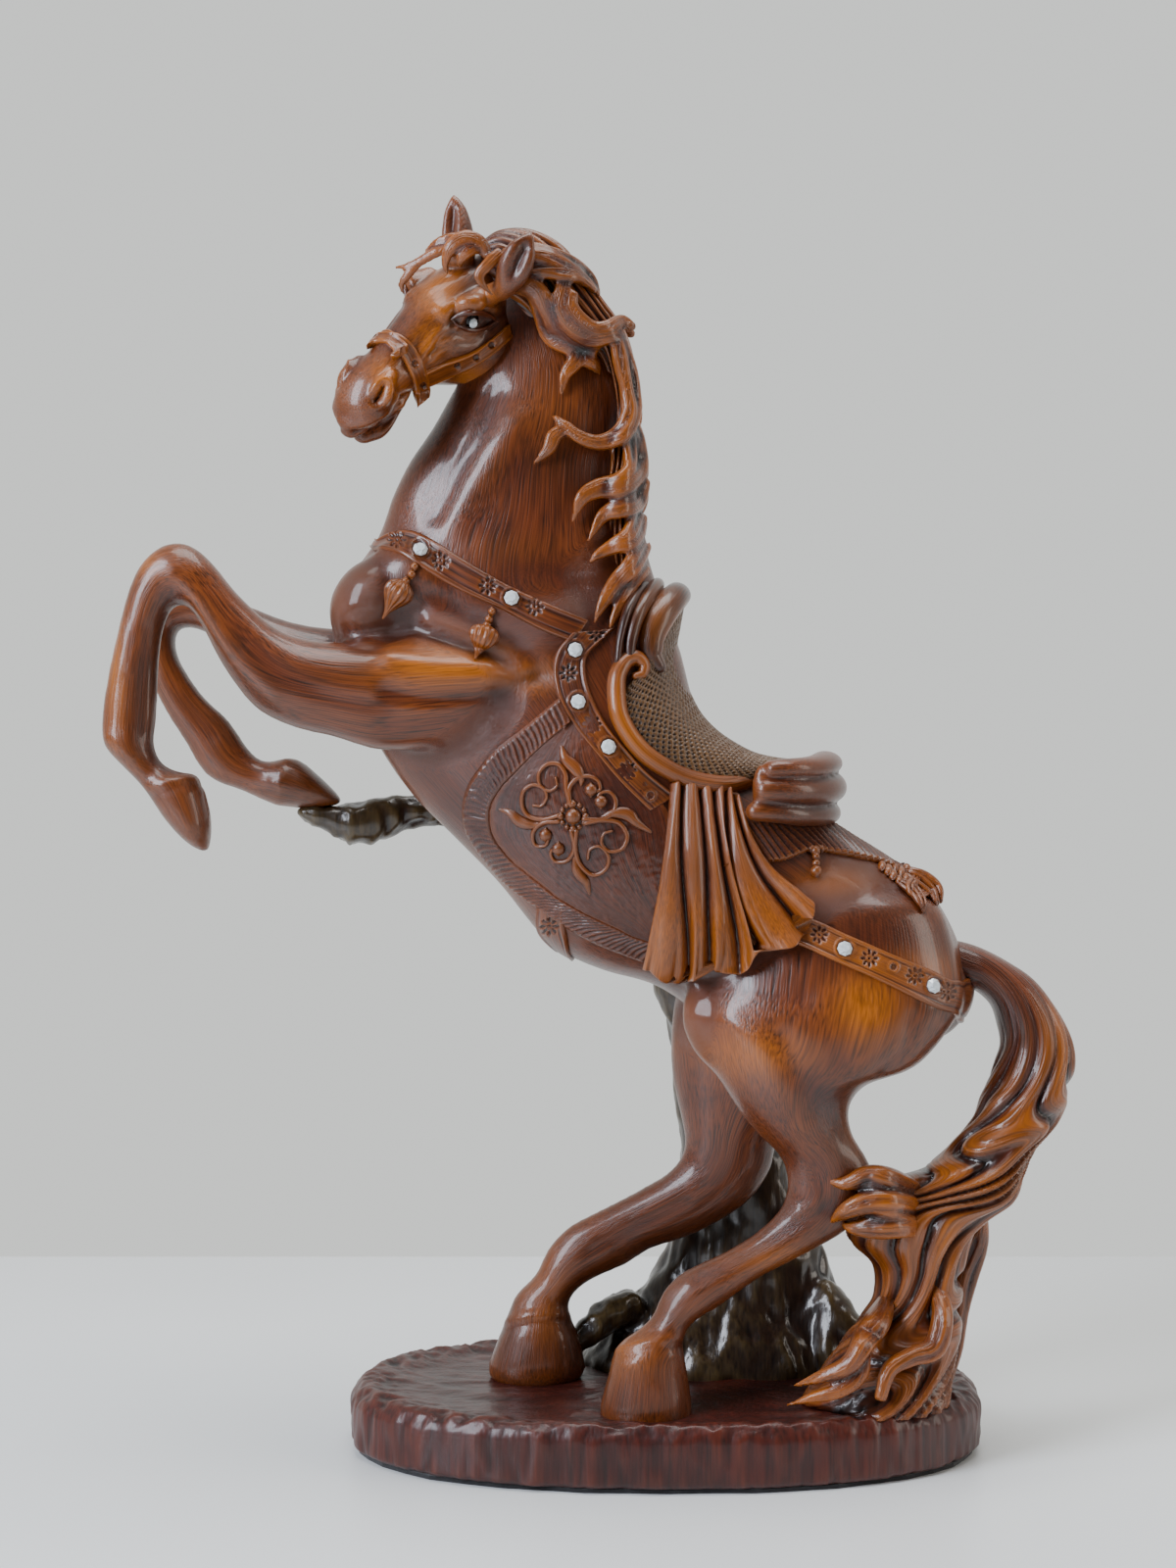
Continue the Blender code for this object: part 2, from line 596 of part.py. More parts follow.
def gathered(name, parts):
    """One object of several closed skins, which may overlap."""
    points, faces, start = [], [], 0
    for part_points, part_faces in parts:
        points.append(part_points)
        faces += [[index + start for index in face] for face in part_faces]
        start += len(part_points)
    return add_object(name, np.vstack(points), faces)


def fused(made, voxel, passes):
    """One smooth skin over an object's overlapping parts."""
    remesh = made.modifiers.new("fuse", "REMESH")
    remesh.mode = "VOXEL"
    remesh.voxel_size = voxel
    smooth = made.modifiers.new("soften", "SMOOTH")
    smooth.factor = 0.5
    smooth.iterations = passes
    return baked(made)


def baked(made):
    """The object with its modifiers taken into its mesh, and no crumbs beside its one body."""
    depsgraph = bpy.context.evaluated_depsgraph_get()
    mesh = bpy.data.meshes.new_from_object(made.evaluated_get(depsgraph))
    made.modifiers.clear()
    made.data = mesh
    work = bmesh.new()
    work.from_mesh(mesh)
    unseen = set(work.verts)
    bodies = []
    while unseen:
        front = [unseen.pop()]
        body = list(front)
        while front:
            front = [edge.other_vert(vert) for vert in front for edge in vert.link_edges]
            front = [vert for vert in set(front) if vert in unseen]
            unseen.difference_update(front)
            body += front
        bodies.append(body)
    bodies.sort(key=len)
    bmesh.ops.delete(work, geom=[vert for body in bodies[:-1] for vert in body], context="VERTS")
    work.to_mesh(mesh)
    work.free()
    return made


def horse_core():
    """The horse without tack: trunk, neck, legs, tail, muscles and head."""
    ribs = (TRUNK_RIBS, NECK_RIBS, NEAR_FORELEG_RIBS, FAR_FORELEG_RIBS, NEAR_HINDLEG_RIBS,
            FAR_HINDLEG_RIBS, TAIL_RIBS)
    parts = [ribbed(rows) for rows in ribs] + head_parts()
    for muscle in MUSCLES:
        parts += [lump(*muscle), mirrored(lump(*muscle))]
    parts += [strand(rows) for rows in (TAIL_TUFT, TAIL_FOOT, TAIL_BACK_LOCK)]
    return fused(gathered("horse_core", parts), VOXEL_MM * MM, SMOOTH_PASSES)


def stand_parts():
    """The tree trunk behind the belly, its branch under the far hoof, and its roots."""
    return [ribbed(STUMP_RIBS), strand(BRANCH)] + [strand(rows) for rows in ROOTS]


def drape_relief(along, share):
    """The drape's folds: ridges that run down it and deepen towards its foot."""
    swell = 0.35 + 0.65 * along
    waves = np.cos(2 * math.pi * DRAPE_FOLDS * share)
    return DRAPE_RELIEF_MM * swell * (0.5 + 0.5 * waves)


def tack_parts(near):
    """Saddle, blanket, drape, straps and tassels of the near side, and the mane's locks."""
    parts = [near.slab(rows, STRAP_THICKNESS, 4)
             for rows in (BREAST_STRAP, SHOULDER_STRAP, CRUPPER_STRAP, GIRTH_STRAP)]
    parts.append(near.slab(BLANKET, CLOTH_THICKNESS, 9))
    parts.append(near.slab(SADDLE_PANEL, SADDLE_THICKNESS, 7))
    parts.append(near.slab(RUMP_PAD, CLOTH_THICKNESS, 5))
    head = smooth_through(DRAPE_TOP, 4)
    foot = smooth_through(DRAPE_FOOT, 4)
    rows = [(*(head[0] + (foot[0] - head[0]) * down), *(head[-1] + (foot[-1] - head[-1]) * down))
            for down in np.linspace(0, 1, 5)]
    parts.append(near.slab(rows, SADDLE_THICKNESS, 4 * DRAPE_FOLDS + 1, 3, drape_relief))
    parts += [near.laid(rows) for rows in SADDLE_ROLLS + TASSELS + MANE_LOCKS]
    return parts


def cantle_parts():
    """The cantle's stacked rolls, each a bow over the back from side to side."""
    parts = []
    turn = np.linspace(-1, 1, 17)
    rises = np.sqrt(1 - turn**2 * CANTLE_BOW)
    for near_x, near_y, back_x, back_y, width, thickness in CANTLE_ROLLS:
        centres = np.array([seen(near_x + (back_x - near_x) * rise, near_y + (back_y - near_y) * rise,
                                 MIDDLE + side * CANTLE_HALF_WIDTH) for side, rise in zip(turn, rises)])
        along = unit(np.gradient(centres, axis=0))
        lift = unit(np.cross(along, unit(seen(back_x, back_y, 0) - seen(near_x, near_y, 0))))
        wide = unit(np.cross(along, lift))
        parts.append(loft(centres, wide * width * MM, lift * thickness * MM, 12))
    return parts


def thinned(made, smooth_body):
    """The object cut down to few triangles, more of them kept where carving stands off the body.

    The weight of the carving counts against lengths in the mesh's unit, so it is thinned in millimetres.
    """
    plain = made.vertex_groups.new(name="plain")
    for vert in made.data.vertices:
        away = smooth_body.find_nearest(vert.co)[3] / MM
        carved = CARVED_FROM_MM < away < CARVED_TO_MM
        plain.add([vert.index], 1.0 - CARVED_WEIGHT if carved else 1.0, "REPLACE")
    made.data.transform(Matrix.Scale(1000, 4))
    thin = made.modifiers.new("thin", "DECIMATE")
    thin.ratio = FIGURE_TRIANGLES / sum(len(face.vertices) - 2 for face in made.data.polygons)
    thin.use_collapse_triangulate = True
    thin.vertex_group = plain.name
    thin.vertex_group_factor = 1.0
    baked(made)
    made.data.transform(Matrix.Scale(0.001, 4))
    return made


def casting():
    """The whole casting: figure, tack and stand as one skin, joined to the base."""
    core = horse_core()
    near, far = Side(core), Side(core, far=True)
    parts = tack_parts(near) + [mirrored(part) for part in tack_parts(far)]
    parts += [near.laid(rows) for rows in FORELOCK] + cantle_parts() + stand_parts()
    dressed = gathered("casting", parts)
    joined = bmesh.new()
    joined.from_mesh(dressed.data)
    joined.from_mesh(core.data)
    joined.to_mesh(dressed.data)
    joined.free()
    bpy.data.objects.remove(core)
    fused(dressed, VOXEL_MM * MM, 1)
    thinned(dressed, near.tree)
    foot = base()
    union = dressed.modifiers.new("base", "BOOLEAN")
    union.operation = "UNION"
    union.object = foot
    baked(dressed)
    bpy.data.objects.remove(foot)
    return dressed


def base_outline(turn):
    """How far the base reaches each way from its middle: an oval with ripples down its wall."""
    waves = [height * np.sin(count * turn + start) for count, height, start in BASE_RIPPLES]
    ripple = sum(waves) / sum(height for _, height, _ in BASE_RIPPLES)
    reach = np.abs(np.cos(turn)) ** BASE_BLUNTNESS + np.abs(np.sin(turn)) ** BASE_BLUNTNESS
    blunt = reach ** (-1 / BASE_BLUNTNESS)
    x = np.cos(turn) * blunt * BASE_LENGTH / 2
    y = np.sin(turn) * blunt * BASE_WIDTH / 2
    inward = 1 - (1 - ripple) * BASE_RIPPLE / np.hypot(x, y)
    return np.stack([x * inward, y * inward], 1)


def base():
    """The oval base, its wall rippled, its top edge rounded and its top uneven."""
    turn = np.linspace(0, 2 * math.pi, 72, endpoint=False)
    outline = base_outline(turn)
    under = FELT_THICKNESS + FIT_GAP
    wall = BASE_HEIGHT - under
    rings = []
    for share, height in BASE_PROFILE:
        ring = np.column_stack([outline * share, np.full(len(turn), under + wall * height)])
        if share < 0.95:
            bump = np.sin(9 * turn + 11 * share) + np.sin(14 * turn - 23 * share)
            ring[:, 2] += BASE_ROUGHNESS * bump / 2
        rings.append(ring)
    rings = np.array(rings)
    points, faces = closed_skin(rings, (0, 0, under), (0, 0, BASE_HEIGHT))
    return add_object("base", points, faces)


def felt_pad():
    """The felt under the base, set in from its edge."""
    turn = np.linspace(0, 2 * math.pi, 48, endpoint=False)
    outline = base_outline(turn)
    inset = 1 - FELT_INSET / np.hypot(outline[:, 0], outline[:, 1])
    rings = np.array([np.column_stack([outline * inset[:, None], np.full(len(turn), height)])
                      for height in (0.0, FELT_THICKNESS)])
    return add_object("felt_pad", *closed_skin(rings, (0, 0, 0), (0, 0, FELT_THICKNESS)))


def crystal(name, diameter, place, normal):
    """A faceted stone: flat back, slanted crown and table, standing on a place."""
    radius, height = diameter / 2, diameter * CRYSTAL_HEIGHT_SHARE
    turn = np.linspace(0, 2 * math.pi, CRYSTAL_FACETS, endpoint=False)
    half = math.pi / CRYSTAL_FACETS
    levels = [(0.94, 0.0, 0), (1.0, 0.4, 0), (0.58, 1.0, half)]
    rings = [np.column_stack([radius * share * np.cos(turn + spin), radius * share * np.sin(turn + spin),
                              np.full(CRYSTAL_FACETS, height * rise)]) for share, rise, spin in levels]
    points, faces = closed_skin(np.array(rings), (0, 0, 0), (0, 0, height))
    made = add_object(name, points, faces)
    made.matrix_world = Matrix.Translation(place) @ normal.to_track_quat("Z", "Y").to_matrix().to_4x4()
    return made


def seat(diameter, place, normal):
    """A cutter for a crystal's seat: a short rod whose inner end is the seat's floor."""
    turn = np.linspace(0, 2 * math.pi, CRYSTAL_FACETS, endpoint=False)
    radius = diameter / 2 + FIT_GAP
    rings = np.array([np.column_stack([radius * np.cos(turn), radius * np.sin(turn),
                                       np.full(len(turn), height)]) for height in (0.0, diameter)])
    made = add_object("seat", *closed_skin(rings, (0, 0, 0), (0, 0, diameter)))
    made.matrix_world = Matrix.Translation(place) @ normal.to_track_quat("Z", "Y").to_matrix().to_4x4()
    made.hide_render = True
    made.display_type = "WIRE"
    return made


def crystals(body):
    """Every crystal in its own seat, cut into the casting."""
    near, far = Side(body), Side(body, far=True)
    mirror = Matrix.Translation((0, 2 * MIDDLE * MM, 0)) @ Matrix.Diagonal((1, -1, 1, 1))
    places = []
    for number, (across, down) in enumerate(STRAP_CRYSTALS, 1):
        for side, label in ((near, "near"), (far, "far")):
            place = Vector(seen(across, down, side.depth(across, down)))
            normal = side.normal(across, down)
            if side is far:
                place = mirror @ place
                normal = Vector((normal.x, -normal.y, normal.z))
            places.append((f"crystal_{label}_{number}", CRYSTAL_DIAMETER, place, normal))
    for hand, label in ((1, "near"), (-1, "far")):
        start = Vector(on_head(EYE_WAY, EYE_HEIGHT, hand * EYE_SEARCH))
        aim = Vector(on_head(EYE_WAY, EYE_HEIGHT, 0)) - start
        found = near.tree.ray_cast(start, aim.normalized())
        places.append((f"crystal_eye_{label}", EYE_CRYSTAL_DIAMETER, found[0], found[1]))
    stones = []
    for name, diameter, place, normal in places:
        floor = place - normal * SEAT_DEPTH
        cut = body.modifiers.new(name, "BOOLEAN")
        cut.operation = "DIFFERENCE"
        cut.object = seat(diameter, floor, normal)
        stones.append(crystal(name, diameter, floor + normal * FIT_GAP, normal))
    return stones


def material(name, colour, roughness, metallic=0.0, transmission=0.0):
    """A Principled material of one colour, given as linear red, green and blue."""
    made = bpy.data.materials.new(name)
    made.use_nodes = True
    shader = made.node_tree.nodes["Principled BSDF"]
    shader.inputs["Base Color"].default_value = (*colour, 1)
    shader.inputs["Roughness"].default_value = roughness
    shader.inputs["Metallic"].default_value = metallic
    shader.inputs["Transmission Weight"].default_value = transmission
    return made


def build():
    """The casting, its crystals and its pad, each with its own material."""
    for old in list(bpy.data.objects):
        bpy.data.objects.remove(old)
    body = casting()
    body.data.materials.clear()
    body.data.materials.append(material("lacquered_resin", (0.115, 0.030, 0.016), 0.28))
    body.data.shade_smooth()
    for stone in crystals(body):
        stone.data.materials.append(material(stone.name, (0.9, 0.93, 0.95), 0.03, 0.0, 1.0))
    pad = felt_pad()
    pad.data.materials.append(material("black_felt", (0.008, 0.008, 0.009), 0.95))


build()
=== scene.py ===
"""Looks of the rearing horse statue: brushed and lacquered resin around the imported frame.

The figure is drawn on an elevation sheet, 1200 units wide and 1600 high, as an eye in front of it
sees it. A place on the sheet and a depth give a point, so every form below is written as places on
that sheet with depths and thicknesses in millimetres. The horse faces -X and its near side faces -Y.
"""

import json
import logging
import math
from collections.abc import Callable
from dataclasses import dataclass, field
from enum import Enum

import bpy
import numpy as np
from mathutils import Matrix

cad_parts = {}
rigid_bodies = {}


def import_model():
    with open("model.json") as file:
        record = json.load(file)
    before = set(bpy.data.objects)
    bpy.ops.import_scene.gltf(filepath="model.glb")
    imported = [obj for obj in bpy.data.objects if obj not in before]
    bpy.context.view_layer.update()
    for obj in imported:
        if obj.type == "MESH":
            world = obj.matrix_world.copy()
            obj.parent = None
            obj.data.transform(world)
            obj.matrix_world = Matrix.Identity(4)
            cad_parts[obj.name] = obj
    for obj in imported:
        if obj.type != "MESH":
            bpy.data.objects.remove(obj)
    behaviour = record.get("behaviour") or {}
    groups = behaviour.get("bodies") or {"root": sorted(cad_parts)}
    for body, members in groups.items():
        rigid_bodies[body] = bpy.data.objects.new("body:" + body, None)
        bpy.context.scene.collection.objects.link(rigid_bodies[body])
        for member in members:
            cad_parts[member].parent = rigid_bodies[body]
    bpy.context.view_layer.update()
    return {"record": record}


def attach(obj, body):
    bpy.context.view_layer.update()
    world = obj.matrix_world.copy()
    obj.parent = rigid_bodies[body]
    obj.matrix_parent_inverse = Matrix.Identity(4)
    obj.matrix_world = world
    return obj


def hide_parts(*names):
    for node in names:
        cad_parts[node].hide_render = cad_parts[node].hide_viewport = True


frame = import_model()
LOG = logging.getLogger("horse")

MM = 0.001
MIDDLE = -14.0
BASE_TOP = 18.0

Array = np.ndarray
Rows = list[tuple[float, ...]]
Material = bpy.types.Material
Piece = bpy.types.Object
Socket = bpy.types.NodeSocket
Tree = bpy.types.NodeTree


def table(*rows: object) -> list:
    """A field of a class, whose list holds these rows."""
    return field(default_factory=lambda: list(rows))


@dataclass(frozen=True)
class Sheet:
    """The elevation sheet: its units per millimetre, its middle and the eye before it."""

    units: float = 3.325
    middle: tuple[float, float] = (600.0, 800.0)
    eye: tuple[float, float, float] = (-23.5, -700.0, 201.0)

    def seen(self, across: Array, down: Array, depth: Array) -> Array:
        """Points at these depths that the sheet shows at these places.

        The offset from the sheet's middle grows with the distance from the eye.

        Args:
            across: places across the sheet, in its units.
            down: places down the sheet, in its units.
            depth: depths in millimetres, growing away from the eye.

        Returns:
            Points in metres, with the coordinates on the last axis.
        """
        across, down, depth = np.broadcast_arrays(across, down, depth)
        spread = (1 - depth / self.eye[1]) / self.units
        x = self.eye[0] + (across - self.middle[0]) * spread
        z = self.eye[2] + (self.middle[1] - down) * spread
        return np.stack([x, depth, z], -1) * MM

    def drawn(self, points: Array) -> tuple[Array, Array, Array]:
        """Where the sheet shows points, and how deep they lie.

        Args:
            points: points in metres, coordinates on the last axis.

        Returns:
            Places across and down the sheet, and depths in millimetres.
        """
        x, depth, z = np.moveaxis(points / MM, -1, 0)
        spread = (1 - depth / self.eye[1]) / self.units
        across = self.middle[0] + (x - self.eye[0]) / spread
        down = self.middle[1] - (z - self.eye[2]) / spread
        return across, down, depth


SHEET = Sheet()


def unit(vectors: Array) -> Array:
    """Vectors at length one, along the last axis."""
    return vectors / np.maximum(np.linalg.norm(vectors, axis=-1, keepdims=True), 1e-12)


def through(rows: Rows | Array, steps: int) -> Array:
    """Rows carried on a Catmull-Rom curve through every given row.

    Args:
        rows: numbers to carry, one row for each place, on any further axes.
        steps: rows made for each stretch between two given rows.

    Returns:
        The finer rows, which end on the last given row.
    """
    rows = np.asarray(rows, float)
    run = np.concatenate([2 * rows[:1] - rows[1:2], rows, 2 * rows[-1:] - rows[-2:-1]])
    share = np.linspace(0, 1, steps, endpoint=False).reshape(-1, *[1] * rows.ndim)
    before, start, end, after = run[:-3], run[1:-2], run[2:-1], run[3:]
    bend = 2 * before - 5 * start + 4 * end - after
    twist = 3 * start - before - 3 * end + after
    spans = start + 0.5 * ((end - before) * share + bend * share**2 + twist * share**3)
    spans = np.swapaxes(spans, 0, 1).reshape(-1, *rows.shape[1:])
    return np.concatenate([spans, rows[-1:]])


def travel(path: Array) -> Array:
    """How far along a path each of its points lies, in the path's own units."""
    return np.concatenate([[0.0], np.cumsum(np.linalg.norm(np.diff(path, axis=0), axis=1))])


def run_length(centres: Array) -> Array:
    """How far along a path in metres each of its points lies, in millimetres."""
    return travel(centres) / MM


def resampled(rows: Array, run: Array, count: int) -> Array:
    """Rows read off at even steps of their run."""
    even = np.linspace(0, run[-1], count)
    return np.stack([np.interp(even, run, column) for column in rows.T], 1)


def other_side(points: Array) -> Array:
    """Points mirrored in the horse's middle plane."""
    points = points.copy()
    points[..., 1] = 2 * MIDDLE * MM - points[..., 1]
    return points


def near_side(points: Array) -> Array:
    """Points with those of the far side mirrored to the near side."""
    return np.where((points[..., 1] < MIDDLE * MM)[..., None], points, other_side(points))


def smooth_step(values: Array, low: float, high: float) -> Array:
    """Zero under low, one over high, and an even S between them."""
    share = np.clip((values - low) / (high - low), 0, 1)
    return share * share * (3 - 2 * share)


@dataclass
class Skin:
    """A closed surface and what dresses each of its points.

    grain holds millimetres along the brushing and twice across it. relief is one on a ridge and
    minus one in a recess; the material darkens recesses by it, as dark stain together with painted
    shade. glow is one where the gold stain shows most. A tube's spine has a row for each ring: its
    middle, its run and the two directions of its section.
    """

    points: Array
    quads: Array
    tris: Array = field(default_factory=lambda: np.zeros((0, 3), int))
    grain: Array | None = None
    grain_b: Array | None = None
    blend: Array | None = None
    relief: Array | None = None
    glow: Array | None = None
    spine: Array | None = None

    def __post_init__(self) -> None:
        """Give every point plain dressing where none is stated."""
        if self.grain is None:
            self.grain = self.points[:, [2, 0, 1]] / MM
        if self.grain_b is None:
            self.grain_b = self.grain
        for name in ("blend", "relief", "glow"):
            if getattr(self, name) is None:
                setattr(self, name, np.zeros(len(self.points)))

    def mirrored(self) -> "Skin":
        """The same surface on the horse's other side."""
        spine = None
        if self.spine is not None:
            spine = self.spine * (1, -1, 1, 1, 1, -1, 1, 1, -1, 1)
            spine[:, 1] += 2 * MIDDLE * MM
        return Skin(other_side(self.points), self.quads[:, ::-1], self.tris[:, ::-1], self.grain,
                    self.grain_b, self.blend, self.relief, self.glow, spine)

    @staticmethod
    def joined(skins: list["Skin"]) -> "Skin":
        """One skin of several, which may pass through each other."""
        starts = np.cumsum([0] + [len(skin.points) for skin in skins[:-1]])
        faces = [np.concatenate([getattr(skin, kind) + start for skin, start in zip(skins, starts)])
                 for kind in ("quads", "tris")]
        dressing = [np.concatenate([getattr(skin, name) for skin in skins])
                    for name in ("grain", "grain_b", "blend", "relief", "glow")]
        return Skin(np.concatenate([skin.points for skin in skins]), *faces, *dressing)

    def pairs(self) -> tuple[Array, Array]:
        """The two ends of every edge, in both directions."""
        quad = np.concatenate([self.quads[:, [side, (side + 1) % 4]] for side in range(4)])
        tri = np.concatenate([self.tris[:, [side, (side + 1) % 3]] for side in range(3)])
        edges = np.concatenate([quad, tri])
        return np.concatenate([edges[:, 0], edges[:, 1]]), np.concatenate([edges[:, 1], edges[:, 0]])

    def evened(self, values: Array, passes: int, factor: float = 0.5) -> Array:
        """Values drawn towards their neighbours' mean, pass after pass."""
        start, end = self.pairs()
        count = len(self.points)
        shape = values.shape
        values = values.reshape(count, -1).copy()
        near = np.maximum(np.bincount(start, minlength=count), 1)[:, None]
        for _ in range(passes):
            sums = [np.bincount(start, values[end, axis], count) for axis in range(values.shape[1])]
            values += factor * (np.stack(sums, 1) / near - values)
        return values.reshape(shape)

    def normals(self) -> Array:
        """Outward directions: face normals, weighted by area, summed over each point's faces."""
        total = np.zeros_like(self.points)
        for faces, (a, b, c, d) in ((self.quads, (0, 2, 1, 3)), (self.tris, (0, 1, 0, 2))):
            corner = self.points[faces]
            flat = np.cross(corner[:, b] - corner[:, a], corner[:, d] - corner[:, c])
            for side in range(faces.shape[1]):
                for axis in range(3):
                    total[:, axis] += np.bincount(faces[:, side], flat[:, axis], len(total))
        return unit(total)

    def carved(self, strokes: list["Stroke"]) -> None:
        """Push points out or in along their normals where strokes run over the surface."""
        normals = self.normals()
        for stroke in strokes:
            self.points += normals * (stroke.swell(self.points) * MM)[:, None]

    def stained_and_shaded(self, span_mm: float, passes: int = 10) -> None:
        """Fill relief: how far each point stands over an evened copy of the surface; the material
        paints recesses dark with it, as dark stain together with painted shade.

        Args:
            span_mm: the height at which relief reaches one.
            passes: evening passes of the copy.
        """
        soft = self.evened(self.points, passes)
        height = np.sum((self.points - soft) * self.normals(), 1) / MM
        self.relief = np.clip(self.evened(height, 2) / span_mm, -1, 1)

    def combed(self, strands: list["Skin"]) -> None:
        """Brush the skin along the strands it was fused from: each point takes its nearest ring."""
        spine = np.concatenate([strand.spine for strand in strands]).astype(np.float32)
        middles = spine[:, :3]
        nearest = []
        for part in np.array_split(self.points.astype(np.float32), len(self.points) // 2000 + 1):
            nearest.append(np.argmin(np.sum(middles**2, 1)[None] - 2 * part @ middles.T, 1))
        spine = spine[np.concatenate(nearest)]
        arm = (self.points - spine[:, :3]) / MM
        cross = [np.sum(arm * spine[:, at:at + 3], 1) for at in (4, 7)]
        along = np.cross(spine[:, 4:7], spine[:, 7:])
        run = spine[:, 3] + np.sum(arm * along, 1)
        self.grain = self.grain_b = np.stack([run, cross[0], cross[1]], 1)


@dataclass
class Stroke:
    """One pull of the carving tool over a surface: a path, its reach and its height."""

    path: Array
    reach_mm: float
    height_mm: float

    def swell(self, points: Array) -> Array:
        """Height at points: a bell over their distance from the path.

        Args:
            points: points in metres.

        Returns:
            Heights in millimetres, positive outwards.
        """
        low = self.path.min(0) - 3 * self.reach_mm * MM
        high = self.path.max(0) + 3 * self.reach_mm * MM
        inside = np.nonzero(np.all((points > low) & (points < high), axis=1))[0]
        height = np.zeros(len(points))
        if not len(inside):
            return height
        spot = points[inside][:, None]
        start = self.path[:-1][None] if len(self.path) > 1 else self.path[None]
        way = (self.path[1:] - self.path[:-1])[None] if len(self.path) > 1 else np.zeros((1, 1, 3))
        share = np.sum((spot - start) * way, -1) / np.maximum(np.sum(way * way, -1), 1e-12)
        nearest = start + way * np.clip(share, 0, 1)[..., None]
        gap = np.linalg.norm(spot - nearest, axis=-1).min(1) / MM
        height[inside] = self.height_mm * np.exp(-((gap / self.reach_mm) ** 2))
        return height


def grid_quads(rows: int, columns: int, closed: bool) -> Array:
    """Faces of a grid of points, its columns closed into rings or left open."""
    row = np.arange(rows - 1)[:, None] * columns
    column = np.arange(columns if closed else columns - 1)[None]
    after = (column + 1) % columns
    return np.stack([row + column, row + after, row + columns + after, row + columns + column],
                    -1).reshape(-1, 4)


def ringed(rings: Array, poles: Array, grain: Array, pole_grain: Array,
           relief: Array | None = None) -> Skin:
    """A closed skin through rings of points, with a fan of faces to a pole at each end.

    Args:
        rings: points, as rows of rings.
        poles: the point before the first ring and the point after the last.
        grain: brushing coordinates of the rings' points.
        pole_grain: brushing coordinates of the poles.
        relief: ridge and recess values of the rings' points.

    Returns:
        The skin, its faces outwards where the rings turn right-handed along the run.
    """
    count, sides = rings.shape[:2]
    ring = np.arange(sides)
    after = (ring + 1) % sides
    last = (count - 1) * sides
    tris = np.concatenate([
        np.stack([after, ring, np.full(sides, count * sides)], 1),
        np.stack([last + ring, last + after, np.full(sides, count * sides + 1)], 1),
    ])
    edge = None if relief is None else np.concatenate([relief.reshape(-1), relief[[0, -1], 0]])
    return Skin(np.concatenate([rings.reshape(-1, 3), poles]), grid_quads(count, sides, True), tris,
                np.concatenate([grain.reshape(-1, 3), pole_grain]), relief=edge)


def tube(centres: Array, wide: Array, tall: Array, sides: int = 16,
         flutes: tuple[float, float] = (0, 0), start: float = 0.0, cap: float = 1.0) -> Skin:
    """An elliptic section carried along a path, with round ends.

    Each ring is its centre plus wide times the cosine and tall times the sine of the turn, and its
    radius waves with the turn by the flutes. The ends are quarter circles run out along the path.

    Args:
        centres: the path.
        wide: first half axis of each section.
        tall: second half axis of each section, towards the outside of what carries the tube.
        sides: points around a section.
        flutes: how many flutes run along the tube, and their depth as a share of its radius.
        start: where its brushing starts, so that neighbours differ.
        cap: how far its ends reach, as a share of their radius.

    Returns:
        The closed tube.
    """
    along = unit(np.gradient(centres, axis=0))
    if np.sum(np.cross(wide, tall) * along) < 0:
        tall = -tall
    turn = np.linspace(0, 2 * math.pi, sides, endpoint=False)
    wave = (1 + flutes[1] * np.cos(flutes[0] * turn))[None, :, None]
    spread = wave * (wide[:, None] * np.cos(turn)[None, :, None]
                     + tall[:, None] * np.sin(turn)[None, :, None])
    reach = np.minimum(np.linalg.norm(wide, axis=1), np.linalg.norm(tall, axis=1)) * cap
    tilt = np.radians([22.0, 45.0, 68.0])
    cosine, sine = np.cos(tilt)[:, None, None], np.sin(tilt)[:, None]
    head = (centres[0] - along[0] * reach[0] * sine)[:, None] + spread[0] * cosine
    foot = (centres[-1] + along[-1] * reach[-1] * sine)[:, None] + spread[-1] * cosine
    rings = np.concatenate([head[::-1], centres[:, None] + spread, foot])
    poles = np.stack([centres[0] - along[0] * reach[0], centres[-1] + along[-1] * reach[-1]])
    middles = rings.mean(1)
    length = run_length(middles) + start
    arms = rings - middles[:, None]
    first, second = (unit(np.pad(arm, ((3, 3), (0, 0)), "edge")) for arm in (wide, tall))
    grain = np.stack([np.repeat(length[:, None], sides, 1),
                      np.sum(arms * first[:, None], -1) / MM + start,
                      np.sum(arms * second[:, None], -1) / MM], -1)
    pole_grain = np.array([[length[0], start, 0], [length[-1], start, 0]])
    # Relief: the outer half is a ridge for the gold stain; the half towards what carries the tube is
    # darkened as painted shade under it, with dark stain
    relief = np.broadcast_to(1.1 * np.sin(turn) - 0.25 + 0.5 * np.cos(flutes[0] * turn) * (flutes[1] > 0),
                             rings.shape[:2])
    skin = ringed(rings, poles, grain, pole_grain, np.clip(relief, -1, 1))
    skin.spine = np.column_stack([middles, length, first, second])
    return skin


def path_tube(rows: Rows | Array, steps: int = 6, sides: int = 14,
              flutes: tuple[float, float] = (0, 0), start: float = 0.0) -> Skin:
    """A strand along sheet places, each row giving across, down, depth, half width, half thickness."""
    rows = through(rows, steps)
    centres = SHEET.seen(rows[:, 0], rows[:, 1], rows[:, 2])
    along = unit(np.gradient(centres, axis=0))
    across = unit(np.cross(along, (0.0, 1.0, 0.0)))
    out = unit(np.cross(along, across))
    wide = across * np.maximum(rows[:, 3:4], 0.15) * MM
    tall = out * np.maximum(rows[:, 4:5], 0.15) * MM
    return tube(centres, wide, tall, sides, flutes, start)


